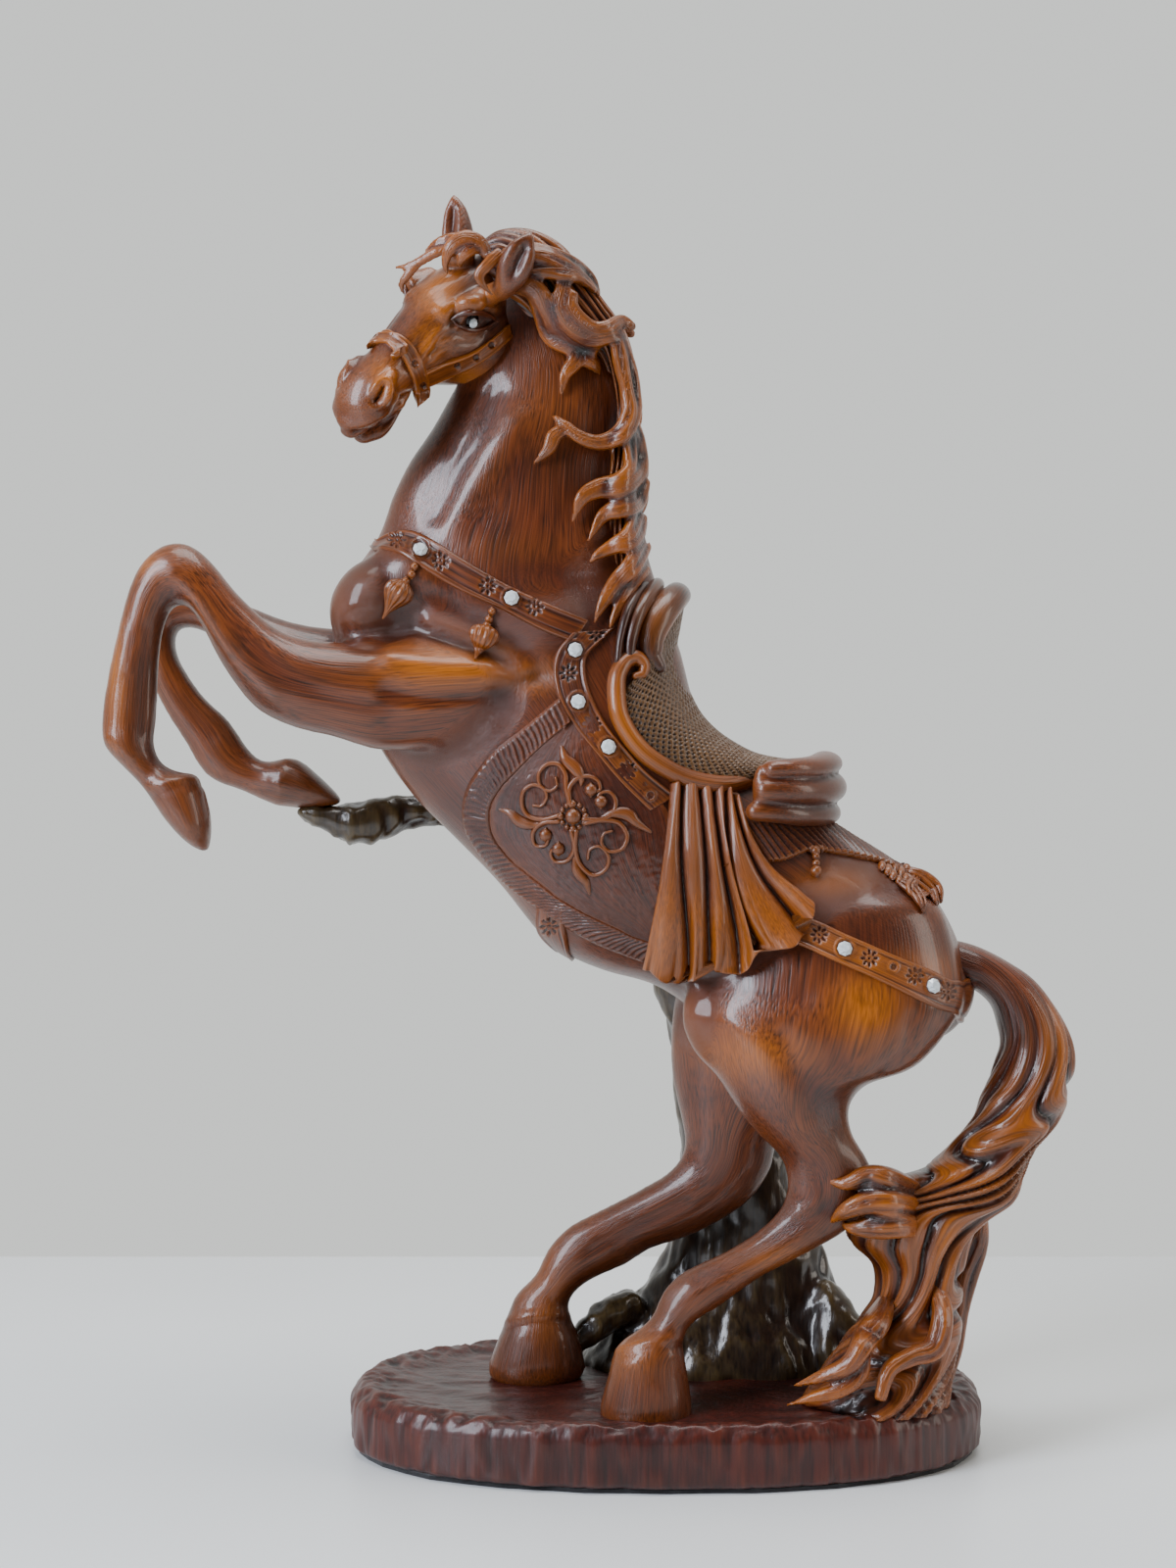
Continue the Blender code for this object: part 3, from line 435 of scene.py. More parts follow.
@dataclass
class Limb:
    """A limb, neck or trunk: ribs that each give both contours, the depth and the half thickness."""

    ribs: Rows
    steps: int = 6

    def frames(self) -> tuple[Array, Array, Array]:
        """Centres and the two half axes of the limb's sections."""
        rows = through(self.ribs, self.steps)
        outer = SHEET.seen(rows[:, 0], rows[:, 1], rows[:, 4])
        inner = SHEET.seen(rows[:, 2], rows[:, 3], rows[:, 4])
        deep = np.zeros_like(outer)
        deep[:, 1] = rows[:, 5] * MM
        return (outer + inner) / 2, (outer - inner) / 2, deep

    def skin(self, sides: int = 40) -> Skin:
        """The limb as a closed round-ended tube."""
        centres, outs, deep = self.frames()
        return tube(centres, outs, deep, sides, cap=0.6)


def flow(limbs: list[Limb], points: Array, band_mm: float = 9.0) -> tuple[Array, ...]:
    """Brushing coordinates of points, from the two limbs whose surface lies nearest.

    On a limb they are the way along its axis and the two offsets in the section there, drawn to the
    limb's mean width so that streaks follow its taper. The second limb's share grows to a half
    where both surfaces are equally near.

    Args:
        limbs: the limbs to choose from.
        points: points in metres.
        band_mm: how far the change from limb to limb reaches.

    Returns:
        The nearest limb's coordinates, the next one's, and the next one's share.
    """
    gaps, places = [], []
    for number, limb in enumerate(limbs):
        centres, outs, deep = limb.frames()
        length = run_length(centres)
        along = unit(np.gradient(centres, axis=0))
        square = (np.sum(points**2, 1)[:, None] - 2 * points @ centres.T + np.sum(centres**2, 1)[None])
        nearest = np.argmin(square, 1)
        arm = points - centres[nearest]
        out, side = unit(outs)[nearest], unit(deep)[nearest]
        u, v = np.sum(arm * out, 1) / MM, np.sum(arm * side, 1) / MM
        a = np.linalg.norm(outs, axis=1)[nearest] / MM
        b = np.linalg.norm(deep, axis=1)[nearest] / MM
        run = length[nearest] + np.sum(arm * along[nearest], 1) / MM
        beyond = np.abs(np.sum(arm * along[nearest], 1)) / MM
        gaps.append((np.sqrt((u / a) ** 2 + (v / b) ** 2) - 1) * (a + b) / 2 + beyond)
        mean = float(np.mean(np.linalg.norm(np.concatenate([outs, deep]), axis=1))) / MM
        places.append(np.stack([run + 531.0 * number, u / a * mean + 77.0 * number, v / b * mean], 1))
    gaps, places = np.stack(gaps, 1), np.stack(places, 1)
    if len(limbs) == 1:
        return places[:, 0], places[:, 0], np.zeros(len(points))
    order = np.argsort(gaps, 1)
    row = np.arange(len(points))
    first, second = order[:, 0], order[:, 1]
    share = 0.5 * (1 - smooth_step(gaps[row, second] - gaps[row, first], 0, band_mm))
    return places[row, first], places[row, second], share


def grid_of(mesh: bpy.types.Mesh) -> Skin:
    """A mesh's points and four-cornered faces as a skin."""
    points = np.empty(len(mesh.vertices) * 3)
    mesh.vertices.foreach_get("co", points)
    corners = np.empty(len(mesh.loops), int)
    mesh.loops.foreach_get("vertex_index", corners)
    return Skin(points.reshape(-1, 3), corners.reshape(-1, 4))


def raw_object(name: str, skin: Skin) -> Piece:
    """A plain mesh object of a skin."""
    mesh = bpy.data.meshes.new(name)
    mesh.from_pydata(skin.points.tolist(), [], skin.quads.tolist() + skin.tris.tolist())
    made = bpy.data.objects.new(name, mesh)
    bpy.context.scene.collection.objects.link(made)
    return made


def fused(skins: list[Skin], voxel_mm: float, passes: int, keep_all: bool = False) -> Skin:
    """One skin over parts that overlap, cut from cubes of one size and then evened.

    Args:
        skins: closed parts.
        voxel_mm: the cube's side.
        passes: evening passes, each half way to the neighbours' mean.
        keep_all: keep every body, not the largest one alone.

    Returns:
        The joined surface.
    """
    made = raw_object("fusing", Skin.joined(skins))
    remesh = made.modifiers.new("fuse", "REMESH")
    remesh.mode = "VOXEL"
    remesh.voxel_size = voxel_mm * MM
    bpy.context.view_layer.update()
    evaluated = made.evaluated_get(bpy.context.evaluated_depsgraph_get())
    skin = grid_of(evaluated.to_mesh())
    evaluated.to_mesh_clear()
    bpy.data.objects.remove(made)
    skin = skin if keep_all else largest_body(skin)
    skin.points = skin.evened(skin.points, passes)
    return skin


def largest_body(skin: Skin) -> Skin:
    """The largest linked body of a skin: labels spread over edges until they settle."""
    start, end = skin.pairs()
    label = np.arange(len(skin.points))
    while True:
        lower = label.copy()
        np.minimum.at(lower, start, label[end])
        lower = lower[lower]
        if np.array_equal(lower, label):
            break
        label = lower
    names, counts = np.unique(label, return_counts=True)
    keep = label == names[np.argmax(counts)]
    number = np.cumsum(keep) - 1
    return Skin(skin.points[keep], number[skin.quads[keep[skin.quads[:, 0]]]])


class DepthChart:
    """How deep the side of a surface that faces the eye lies at each place of the sheet.

    Points of the surface are binned in cells of the sheet, the nearest depth of each cell is kept,
    gaps are closed, the chart is grown past the outline and then evened.
    """

    cell = 2.5
    wide = 480
    high = 640

    def __init__(self, skin: Skin, soft: int = 3, grow: int = 24) -> None:
        """Chart a skin.

        Args:
            skin: the surface, already mirrored where the far side is meant.
            soft: evening passes over the chart.
            grow: cells that the chart grows past the outline.
        """
        corner = skin.points[skin.quads]
        points = np.concatenate([skin.points, corner.mean(1), (corner[:, 0] + corner[:, 1]) / 2,
                                 (corner[:, 1] + corner[:, 2]) / 2])
        across, down, depth = SHEET.drawn(points)
        column = np.clip((across / self.cell).astype(int), 0, self.wide - 1)
        row = np.clip((down / self.cell).astype(int), 0, self.high - 1)
        chart = np.full((self.high, self.wide), np.inf)
        np.minimum.at(chart, (row, column), depth)
        chart = np.max(self.around(np.min(self.around(chart), axis=0)), axis=0)
        for _ in range(grow):
            known = np.isfinite(chart)
            total = sum(self.around(np.where(known, chart, 0)))
            count = sum(self.around(known.astype(float)))
            chart = np.where(known, chart, np.where(count > 0, total / np.maximum(count, 1), np.inf))
        chart = np.where(np.isfinite(chart), chart, MIDDLE)
        for _ in range(soft):
            chart = sum(self.around(chart)) / 9
        self.chart = chart

    @staticmethod
    def around(chart: Array) -> list[Array]:
        """The chart as seen from each cell's nine neighbours, itself among them."""
        return [np.roll(chart, (row, column), (0, 1)) for row in (-1, 0, 1) for column in (-1, 0, 1)]

    def depth(self, across: Array, down: Array) -> Array:
        """Depths at places, weighted between the four cells around each."""
        column = np.clip(np.asarray(across, float) / self.cell - 0.5, 0, self.wide - 2)
        row = np.clip(np.asarray(down, float) / self.cell - 0.5, 0, self.high - 2)
        left, top = column.astype(int), row.astype(int)
        u, v = column - left, row - top
        upper = self.chart[top, left] * (1 - u) + self.chart[top, left + 1] * u
        lower = self.chart[top + 1, left] * (1 - u) + self.chart[top + 1, left + 1] * u
        return upper * (1 - v) + lower * v

    def lifted(self, across: Array, down: Array, height: Array | float = 0.0) -> Array:
        """Points over the surface at places of the sheet, a height in millimetres nearer the eye."""
        return SHEET.seen(across, down, self.depth(across, down) - height)


def value_noise(points: Array, size_mm: float, seed: float = 0.0) -> Array:
    """Smooth random values from -1 to 1: hashed at the corners of cubes and blended inside them.

    Args:
        points: coordinates in millimetres on the last axis.
        size_mm: the cube's side.
        seed: changes the values.

    Returns:
        One value for each point.
    """
    spot = points / size_mm + 100.0
    corner = np.floor(spot)
    share = spot - corner
    share = share * share * (3 - 2 * share)
    total = np.zeros(points.shape[:-1])
    for code in range(8):
        step = np.array([code & 1, (code >> 1) & 1, (code >> 2) & 1])
        weight = np.prod(np.where(step, share, 1 - share), -1)
        at = corner + step
        key = np.sin(at @ np.array([127.1, 311.7, 74.7]) + seed * 19.19) * 43758.5453
        total += weight * (key - np.floor(key))
    return 2 * total - 1


def layered_noise(points: Array, size_mm: float, layers: int = 3, seed: float = 0.0) -> Array:
    """Value noise summed over layers, each half as large and half as strong as the last."""
    parts = [value_noise(points, size_mm / 2**layer, seed + layer) / 2**layer for layer in range(layers)]
    return sum(parts) / sum(0.5**layer for layer in range(layers))


def glow_at(points: Array, spots: Rows) -> Array:
    """How much gold stain points take from spots of across, down, reach across, reach down, amount."""
    across, down, _ = SHEET.drawn(points)
    glow = np.zeros(len(points))
    for x, y, wide, high, amount in spots:
        fall = np.exp(-(((across - x) / wide) ** 2) - ((down - y) / high) ** 2)
        glow = np.maximum(glow, amount * fall)
    return glow


def linear(code: str) -> tuple[float, float, float, float]:
    """An sRGB hex colour as linear values with full opacity."""
    values = [int(code[at:at + 2], 16) / 255 for at in (1, 3, 5)]
    flat = [value / 12.92 if value <= 0.04045 else ((value + 0.055) / 1.055) ** 2.4 for value in values]
    return (*flat, 1.0)


def add(tree: Tree, kind: str, inputs: dict | None = None, **settings) -> bpy.types.Node:
    """One node with its settings, its inputs set to values or linked to sockets.

    Args:
        tree: the node tree.
        kind: the node's type.
        inputs: values or output sockets, by the input's name or number.
        settings: properties of the node.

    Returns:
        The node.
    """
    node = tree.nodes.new(kind)
    for name, value in settings.items():
        setattr(node, name, value)
    for key, value in (inputs or {}).items():
        if isinstance(value, Socket):
            tree.links.new(value, node.inputs[key])
        else:
            node.inputs[key].default_value = value
    return node


def new_material(name: str) -> tuple[Material, Tree]:
    """An empty node material and its tree."""
    made = bpy.data.materials.new(name)
    made.use_nodes = True
    made.node_tree.nodes.clear()
    return made, made.node_tree


def mixed(tree: Tree, share: Socket, low: str | Socket,
          high: str | Socket) -> Socket:
    """A colour between two, each a hex code or a socket, by a share."""
    low, high = (linear(colour) if isinstance(colour, str) else colour for colour in (low, high))
    return add(tree, "ShaderNodeMix", {0: share, 6: low, 7: high}, data_type="RGBA").outputs[2]


def ranged(tree: Tree, value: Socket, low: float, high: float,
           start: float = 0.0, end: float = 1.0) -> Socket:
    """A value carried from the range low to high to the range start to end."""
    inputs = {"Value": value, 1: low, 2: high, 3: start, 4: end}
    return add(tree, "ShaderNodeMapRange", inputs).outputs[0]


def worked_out(tree: Tree, operation: str, *values: float | Socket,
               clamp: bool = False) -> Socket:
    """The result of one operation on values or sockets."""
    return add(tree, "ShaderNodeMath", dict(enumerate(values)), operation=operation,
               use_clamp=clamp).outputs[0]


def clouds(tree: Tree, scale: float, detail: float) -> Socket:
    """Noise over the object's own place, its scale in waves to the metre."""
    place = add(tree, "ShaderNodeTexCoord").outputs["Object"]
    inputs = {"Vector": place, "Scale": scale, "Detail": detail}
    return add(tree, "ShaderNodeTexNoise", inputs).outputs["Fac"]


def surfaced(tree: Tree, inputs: dict) -> None:
    """End a material with a shader that takes these inputs."""
    shade = add(tree, "ShaderNodeBsdfPrincipled", inputs)
    add(tree, "ShaderNodeOutputMaterial", {"Surface": shade.outputs[0]})


@dataclass(frozen=True)
class BrushedResin:
    """Polyester resin, brushed with wood stain along the form, wiped back on ridges and lacquered.

    The stain leaves fine streaks and is gold where it was wiped thin; recesses are darkened, as dark
    stain together with painted shade. The lacquer over it gives broad soft lights with a sharp skin
    on them.
    """

    name: str
    deep: str = "#180602"
    body: str = "#50200E"
    warm: str = "#6E3414"
    gold: str = "#A45A12"
    recess: str = "#0E0301"
    streak_mm: float = 0.27
    streak_length_mm: float = 22.0
    patch_mm: float = 40.0
    gold_share: float = 0.38
    roughness: float = 0.36
    coat: float = 0.35
    streak_height_mm: float = 0.175

    def material(self) -> Material:
        """The finish as a node material that reads each point's grain, relief and glow."""
        made, tree = new_material(self.name)
        read = {name: add(tree, "ShaderNodeAttribute", attribute_name=name)
                for name in ("grain", "grain_b", "blend", "relief", "glow")}
        fine = (1 / self.streak_length_mm, 1 / self.streak_mm, 1 / self.streak_mm)
        streaks = []
        for name in ("grain", "grain_b"):
            scaled = add(tree, "ShaderNodeVectorMath", {0: read[name].outputs["Vector"], 1: fine},
                         operation="MULTIPLY")
            noise = add(tree, "ShaderNodeTexNoise",
                        {"Vector": scaled.outputs[0], "Scale": 1.0, "Detail": 1.0, "Roughness": 0.5})
            streaks.append(noise.outputs["Fac"])
        streak = add(tree, "ShaderNodeMix",
                     {0: read["blend"].outputs["Fac"], 2: streaks[0], 3: streaks[1]}).outputs[0]
        tone = ranged(tree, streak, 0.26, 0.7)
        dark = mixed(tree, tone, self.deep, self.body)
        warmth = ranged(tree, clouds(tree, 1000.0 / self.patch_mm, 2.0), 0.42, 0.66)
        plain = mixed(tree, worked_out(tree, "MULTIPLY", warmth, tone), dark, self.warm)
        relief, glow = read["relief"].outputs["Fac"], read["glow"].outputs["Fac"]
        ridge = worked_out(tree, "MULTIPLY_ADD", relief, self.gold_share, glow)
        wiped = worked_out(tree, "MULTIPLY", ridge, ranged(tree, tone, 0, 1, 0.55, 1.25), clamp=True)
        golden = mixed(tree, wiped, plain, self.gold)
        # Painted shade with dark stain: negative relief mixes the colour towards the recess colour
        hollow = worked_out(tree, "MULTIPLY", relief, -1.0, clamp=True)
        bump = add(tree, "ShaderNodeBump",
                   {"Height": streak, "Strength": 0.7, "Distance": self.streak_height_mm * MM})
        surfaced(tree, {"Base Color": mixed(tree, hollow, golden, self.recess),
                        "Roughness": self.roughness, "Specular IOR Level": 0.4,
                        "Coat Weight": self.coat, "Coat Roughness": 0.12, "Coat IOR": 1.5,
                        "Normal": bump.outputs[0]})
        return made


@dataclass(frozen=True)
class CrystalGlass:
    """Clear cut glass: colourless and sharp, with a foiled back that throws light out."""

    name: str = "crystal_glass"
    tint: str = "#F2F6F8"
    cloud: str = "#B9C4C8"

    def material(self) -> Material:
        """The finish as a node material: bright facets with a slight cloud in them."""
        made, tree = new_material(self.name)
        colour = mixed(tree, clouds(tree, 900.0, 1.0), self.tint, self.cloud)
        surfaced(tree, {"Base Color": colour, "Roughness": 0.05, "IOR": 1.56,
                        "Transmission Weight": 0.2, "Coat Weight": 1.0, "Coat Roughness": 0.02})
        return made


@dataclass(frozen=True)
class BlackFelt:
    """Pressed black felt: matt, with short fibres that catch a little light."""

    name: str = "black_felt"
    fibre_mm: float = 0.5

    def material(self) -> Material:
        """The finish as a node material: fibre noise in its colour and height."""
        made, tree = new_material(self.name)
        fibre = clouds(tree, 1000.0 / self.fibre_mm, 3.0)
        bump = add(tree, "ShaderNodeBump", {"Height": fibre, "Strength": 0.6, "Distance": 0.2 * MM})
        surfaced(tree, {"Base Color": mixed(tree, fibre, "#0B0B0C", "#242326"), "Roughness": 0.95,
                        "Sheen Weight": 0.4, "Normal": bump.outputs[0]})
        return made


class Slot(Enum):
    """The record's material slots."""

    RESIN = "lacquered_resin"
    CRYSTAL = "crystal"
    FELT = "felt"


def dressed(name: str, skin: Skin, material: Material) -> Piece:
    """A finished resin piece: the skin's mesh with its dressing, standing for the casting.

    Args:
        name: the piece's name.
        skin: its surface.
        material: its finish.

    Returns:
        The object, at the origin.
    """
    made = raw_object(name, skin)
    mesh = made.data
    for key, values in (("grain", skin.grain), ("grain_b", skin.grain_b)):
        attribute = mesh.attributes.new(key, "FLOAT_VECTOR", "POINT")
        attribute.data.foreach_set("vector", np.ascontiguousarray(values, np.float32).ravel())
    for key, values in (("blend", skin.blend), ("relief", skin.relief), ("glow", skin.glow)):
        attribute = mesh.attributes.new(key, "FLOAT", "POINT")
        attribute.data.foreach_set("value", np.ascontiguousarray(values, np.float32))
    mesh.polygons.foreach_set("use_smooth", np.ones(len(mesh.polygons), bool))
    mesh.materials.append(material)
    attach(made, "root")
    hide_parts("casting")
    LOG.info("%s: %d faces", name, len(mesh.polygons))
    return made


# BUILT PIECES

@dataclass
class Body:
    """Trunk, neck and legs in one skin, with their muscles, tendons and hooves.

    Ribs give outer contour, inner contour, depth and half thickness. Muscles give across, down,
    depth, half length, half width, half thickness and tilt in degrees.
    """

    trunk: Rows = table(
        (982, 990, 945, 1062, -14, 14), (975, 955, 885, 1085, -14, 23), (948, 908, 800, 1085, -14, 27.5),
        (910, 882, 728, 1045, -14, 28.5), (862, 852, 670, 1006, -14, 27.5), (805, 810, 612, 989, -14, 28),
        (750, 775, 560, 962, -14, 29), (712, 725, 508, 900, -14, 29.5), (694, 662, 462, 853, -14, 28.5),
        (676, 612, 422, 813, -14, 26.5), (664, 575, 388, 765, -14, 25), (657, 545, 358, 700, -14, 23),
        (652, 520, 342, 650, -14, 20), (648, 500, 346, 615, -14, 17))
    neck: Rows = table(
        (690, 690, 400, 740, -14, 25), (672, 610, 350, 650, -14, 24.5), (660, 560, 358, 592, -14, 23),
        (652, 520, 386, 548, -14, 21), (647, 480, 400, 508, -14.5, 19), (641, 438, 417, 473, -15, 17),
        (641, 395, 438, 442, -15, 14.5), (632, 348, 455, 412, -14.5, 11.8),
        (600, 300, 474, 376, -14, 9.4), (568, 260, 490, 336, -17, 8), (528, 244, 496, 300, -22, 7))
    near_foreleg: Rows = table(
        (500, 650, 500, 752, -30, 12), (440, 648, 442, 763, -33, 13), (385, 652, 388, 766, -35, 13),
        (330, 654, 340, 752, -37, 12), (286, 643, 298, 742, -38, 11), (245, 608, 260, 722, -38, 10),
        (222, 580, 228, 680, -38, 9.5), (203, 561, 207, 640, -38, 9), (180, 552, 188, 616, -38, 8.6),
        (152, 566, 175, 622, -38, 8.4), (134, 595, 167, 640, -38, 8), (120, 645, 163, 668, -38, 7.4),
        (109, 695, 161, 700, -38, 7), (103, 740, 160, 740, -38, 7), (106, 761, 156, 754, -38, 7.4),
        (124, 781, 163, 777, -38, 7), (140, 797, 180, 787, -38, 7.2), (152, 812, 203, 793, -38, 9),
        (168, 836, 214, 825, -38, 9.4), (188, 858, 216, 848, -38, 8), (207, 871, 214, 866, -38, 4))
    far_foreleg: Rows = table(
        (430, 645, 430, 750, 2, 12), (385, 643, 400, 745, 6, 12), (331, 640, 345, 735, 9, 11),
        (290, 632, 300, 712, 10, 10), (245, 614, 252, 680, 10, 9), (208, 600, 215, 648, 10, 8.4),
        (172, 600, 186, 640, 10, 8), (150, 625, 179, 650, 10, 7.6), (146, 662, 181, 668, 10, 7),
        (154, 695, 193, 690, 10, 6.6), (170, 728, 209, 711, 10, 6.2), (189, 758, 235, 736, 10, 6.2),
        (204, 784, 249, 757, 10, 6.8), (220, 798, 263, 774, 10, 6.4), (246, 807, 279, 777, 10, 6.2),
        (266, 816, 288, 773, 10, 7.6), (284, 823, 303, 773, 10, 9), (310, 825, 322, 788, 10, 9),
        (336, 824, 340, 805, 10, 6.5), (351, 821, 351, 817, 10, 3))
    near_hindleg: Rows = table(
        (735, 935, 965, 935, -24, 18), (718, 978, 977, 978, -26, 20), (708, 1020, 982, 1022, -29, 20.5),
        (713, 1055, 964, 1056, -31, 19.5), (725, 1087, 932, 1089, -32, 17.5),
        (742, 1115, 885, 1105, -33, 15), (757, 1138, 866, 1130, -33, 13), (776, 1160, 871, 1158, -33, 11),
        (796, 1180, 885, 1180, -33, 9.2), (803, 1203, 893, 1203, -33, 8.2),
        (800, 1225, 886, 1232, -33, 7.8), (788, 1243, 862, 1257, -33, 7.2),
        (765, 1262, 836, 1272, -33.5, 6.6), (740, 1277, 808, 1287, -34, 6.2),
        (715, 1289, 777, 1303, -34, 6.4), (692, 1301, 752, 1320, -34, 7),
        (675, 1320, 731, 1335, -34, 7.2), (665, 1344, 712, 1345, -34, 7),
        (648, 1360, 703, 1355, -34, 7.4), (628, 1375, 697, 1367, -34, 9.8),
        (621, 1400, 702, 1400, -34, 11), (610, 1440, 708, 1440, -34, 12.4))
    far_hindleg: Rows = table(
        (705, 960, 930, 960, -3, 19), (690, 1010, 930, 1005, 0, 19.5), (684, 1055, 925, 1050, 2, 18.5),
        (685, 1095, 880, 1090, 4, 16), (692, 1130, 825, 1125, 5, 13), (698, 1158, 795, 1160, 5, 10.5),
        (696, 1178, 788, 1190, 5, 9), (682, 1196, 768, 1222, 5, 8), (655, 1212, 735, 1246, 5, 7.4),
        (628, 1226, 700, 1263, 5, 6.8), (602, 1239, 665, 1274, 5, 6.4), (580, 1251, 640, 1290, 5, 6.8),
        (560, 1272, 607, 1304, 5, 7.2), (545, 1302, 588, 1317, 5, 7), (527, 1319, 580, 1332, 5, 7.2),
        (518, 1340, 583, 1345, 5, 9.6), (508, 1365, 591, 1362, 5, 11), (496, 1396, 599, 1396, 5, 12.4))
    muscles: Rows = table(
        (380, 616, -24, 15, 12, 14, 56), (433, 600, -28, 16, 12, 10, -40), (470, 682, -33, 27, 7, 6, -8),
        (446, 735, -33, 22, 9, 7, -4), (560, 640, -32, 30, 14, 7, -50), (600, 730, -34, 26, 14, 6, -60),
        (738, 1050, -32, 16, 11, 8, -60), (905, 1030, -32, 20, 17, 12, 50),
        (830, 1075, -38, 22, 13, 7, 60))
    # Pulls of the carving tool on both sides: reach, height, then places on the sheet
    strokes: list = table(
        (5.0, 1.0, [(527, 430), (507, 465), (482, 500), (462, 532)]),
        (4.0, -1.1, [(502, 402), (490, 440), (466, 480), (446, 522)]),
        (3.0, -0.6, [(478, 402), (470, 430), (452, 470), (432, 510)]),
        (2.6, -1.0, [(424, 596), (428, 620), (414, 642), (386, 656)]),
        (2.2, -0.9, [(352, 650), (366, 660), (386, 662)]),
        (2.2, -1.7, [(393, 704), (430, 712), (470, 712), (510, 706), (545, 690)]),
        (2.0, -1.6, [(424, 640), (452, 650), (482, 660), (510, 672), (530, 692)]),
        (2.4, 1.3, [(432, 634), (458, 640), (486, 650), (512, 662)]),
        (3.0, -1.1, [(440, 606), (470, 624), (500, 640), (530, 660), (556, 690)]),
        (4.0, 1.6, [(400, 674), (440, 682), (490, 686), (522, 694)]),
        (3.0, -0.8, [(210, 596), (245, 642), (290, 688), (340, 712), (398, 722)]),
        (2.6, 0.6, [(175, 585), (200, 615), (240, 672), (280, 712)]),
        (3.5, -0.9, [(400, 742), (440, 740), (480, 728), (520, 716)]),
        (4.0, -0.8, [(712, 1012), (742, 1003), (776, 1006), (818, 1018)]),
        (4.5, -0.9, [(800, 1060), (815, 1090), (838, 1120), (856, 1150), (868, 1180)]),
        (4.0, 0.9, [(742, 1040), (775, 1070), (800, 1110), (822, 1150)]),
        (3.6, 0.7, [(868, 1010), (885, 1050), (880, 1085)]),
        (3.0, -0.7, [(930, 1040), (925, 1070), (905, 1092)]))
    # Pulls on the legs that the sheet shows, each on its own leg
    leg_strokes: list = table(
        (1.6, -0.55, [(150, 640), (147, 680), (144, 720), (144, 752)]),
        (1.5, 0.4, [(127, 640), (121, 690), (118, 740)]),
        (1.5, 0.6, [(150, 806), (168, 799), (188, 794), (207, 797)]),
        (1.0, -0.5, [(154, 812), (170, 805), (190, 800), (208, 803)]),
        (2.2, 0.6, [(112, 752), (128, 770), (140, 785)]),
        (1.6, -0.5, [(172, 690), (186, 712), (204, 735), (218, 750)]),
        (1.3, 0.5, [(282, 826), (286, 800), (292, 772)]),
        (1.6, -0.7, [(842, 1232), (815, 1248), (782, 1270), (745, 1290), (712, 1306)]),
        (2.0, 0.5, [(846, 1210), (838, 1230), (815, 1240)]),
        (2.4, -0.6, [(835, 1190), (842, 1215), (850, 1238)]),
        (1.4, 0.8, [(628, 1379), (650, 1372), (675, 1367), (698, 1366)]),
        (1.0, -0.6, [(624, 1386), (650, 1379), (675, 1374), (699, 1373)]),
        (1.6, -0.5, [(700, 1228), (665, 1244), (630, 1262), (600, 1278)]),
        (1.4, 0.8, [(512, 1350), (535, 1344), (560, 1341), (585, 1343)]),
        (1.0, -0.6, [(510, 1357), (535, 1351), (560, 1348), (588, 1350)]))
    gold: Rows = table(
        (455, 680, 70, 22, 0.75), (540, 690, 40, 16, 0.5), (885, 1030, 36, 34, 0.8),
        (770, 1075, 55, 26, 0.5), (940, 990, 40, 20, 0.4), (500, 480, 26, 60, 0.08),
        (520, 560, 60, 20, 0.1), (118, 690, 9, 60, 0.55), (150, 575, 14, 14, 0.4),
        (560, 420, 34, 60, 0.15), (880, 1150, 20, 30, 0.45), (800, 1285, 50, 14, 0.3),
        (850, 900, 40, 16, 0.4), (640, 1370, 30, 40, 0.35), (555, 1350, 24, 40, 0.25))
    voxel_mm: float = 1.5
    passes: int = 8
    skin: Skin | None = None

    def limbs(self) -> list[Limb]:
        """The trunk, the neck and the four legs."""
        return [Limb(ribs) for ribs in (self.trunk, self.neck, self.near_foreleg, self.far_foreleg,
                                        self.near_hindleg, self.far_hindleg)]

    @staticmethod
    def muscle(row: tuple[float, ...]) -> Skin:
        """An egg-shaped muscle, its half axes falling off as a circle along its length."""
        across, down, depth, length, width, thick, tilt = row
        turn = math.radians(tilt)
        share = np.linspace(-0.95, 0.95, 25)[:, None]
        round_off = np.sqrt(1 - share**2)
        way = np.array([math.cos(turn), 0, math.sin(turn)])
        wide = np.array([-math.sin(turn), 0, math.cos(turn)])
        centres = SHEET.seen(across, down, depth) + way * length * MM * share
        return tube(centres, wide * width * MM * round_off,
                    np.array([0, thick * MM, 0]) * round_off, 28)

    def shape(self) -> Skin:
        """The carved skin: parts fused, then muscles and tendons pulled out or in."""
        parts = [limb.skin() for limb in self.limbs()]
        for row in self.muscles:
            parts += [self.muscle(row), self.muscle(row).mirrored()]
        skin = fused(parts, self.voxel_mm, self.passes)
        near, far = DepthChart(skin), DepthChart(skin.mirrored())
        strokes = []
        for reach, height, places in self.strokes:
            row = through(places, 4).T
            strokes += [Stroke(near.lifted(*row), reach, height),
                        Stroke(other_side(far.lifted(*row)), reach, height)]
        for reach, height, places in self.leg_strokes:
            strokes.append(Stroke(near.lifted(*through(places, 4).T), reach, height))
        skin.carved(strokes)
        skin.points = skin.evened(skin.points, 1)
        return skin

    def built(self, material: Material) -> Piece:
        """The finished body."""
        skin = self.shape()
        skin.stained_and_shaded(1.1, 24)
        skin.relief *= 0.55
        skin.grain, skin.grain_b, skin.blend = flow(self.limbs(), skin.points)
        skin.grain, skin.grain_b = skin.evened(skin.grain, 14), skin.evened(skin.grain_b, 14)
        skin.glow = glow_at(near_side(skin.points), self.gold)
        self.skin = skin
        return dressed("body", skin, material)


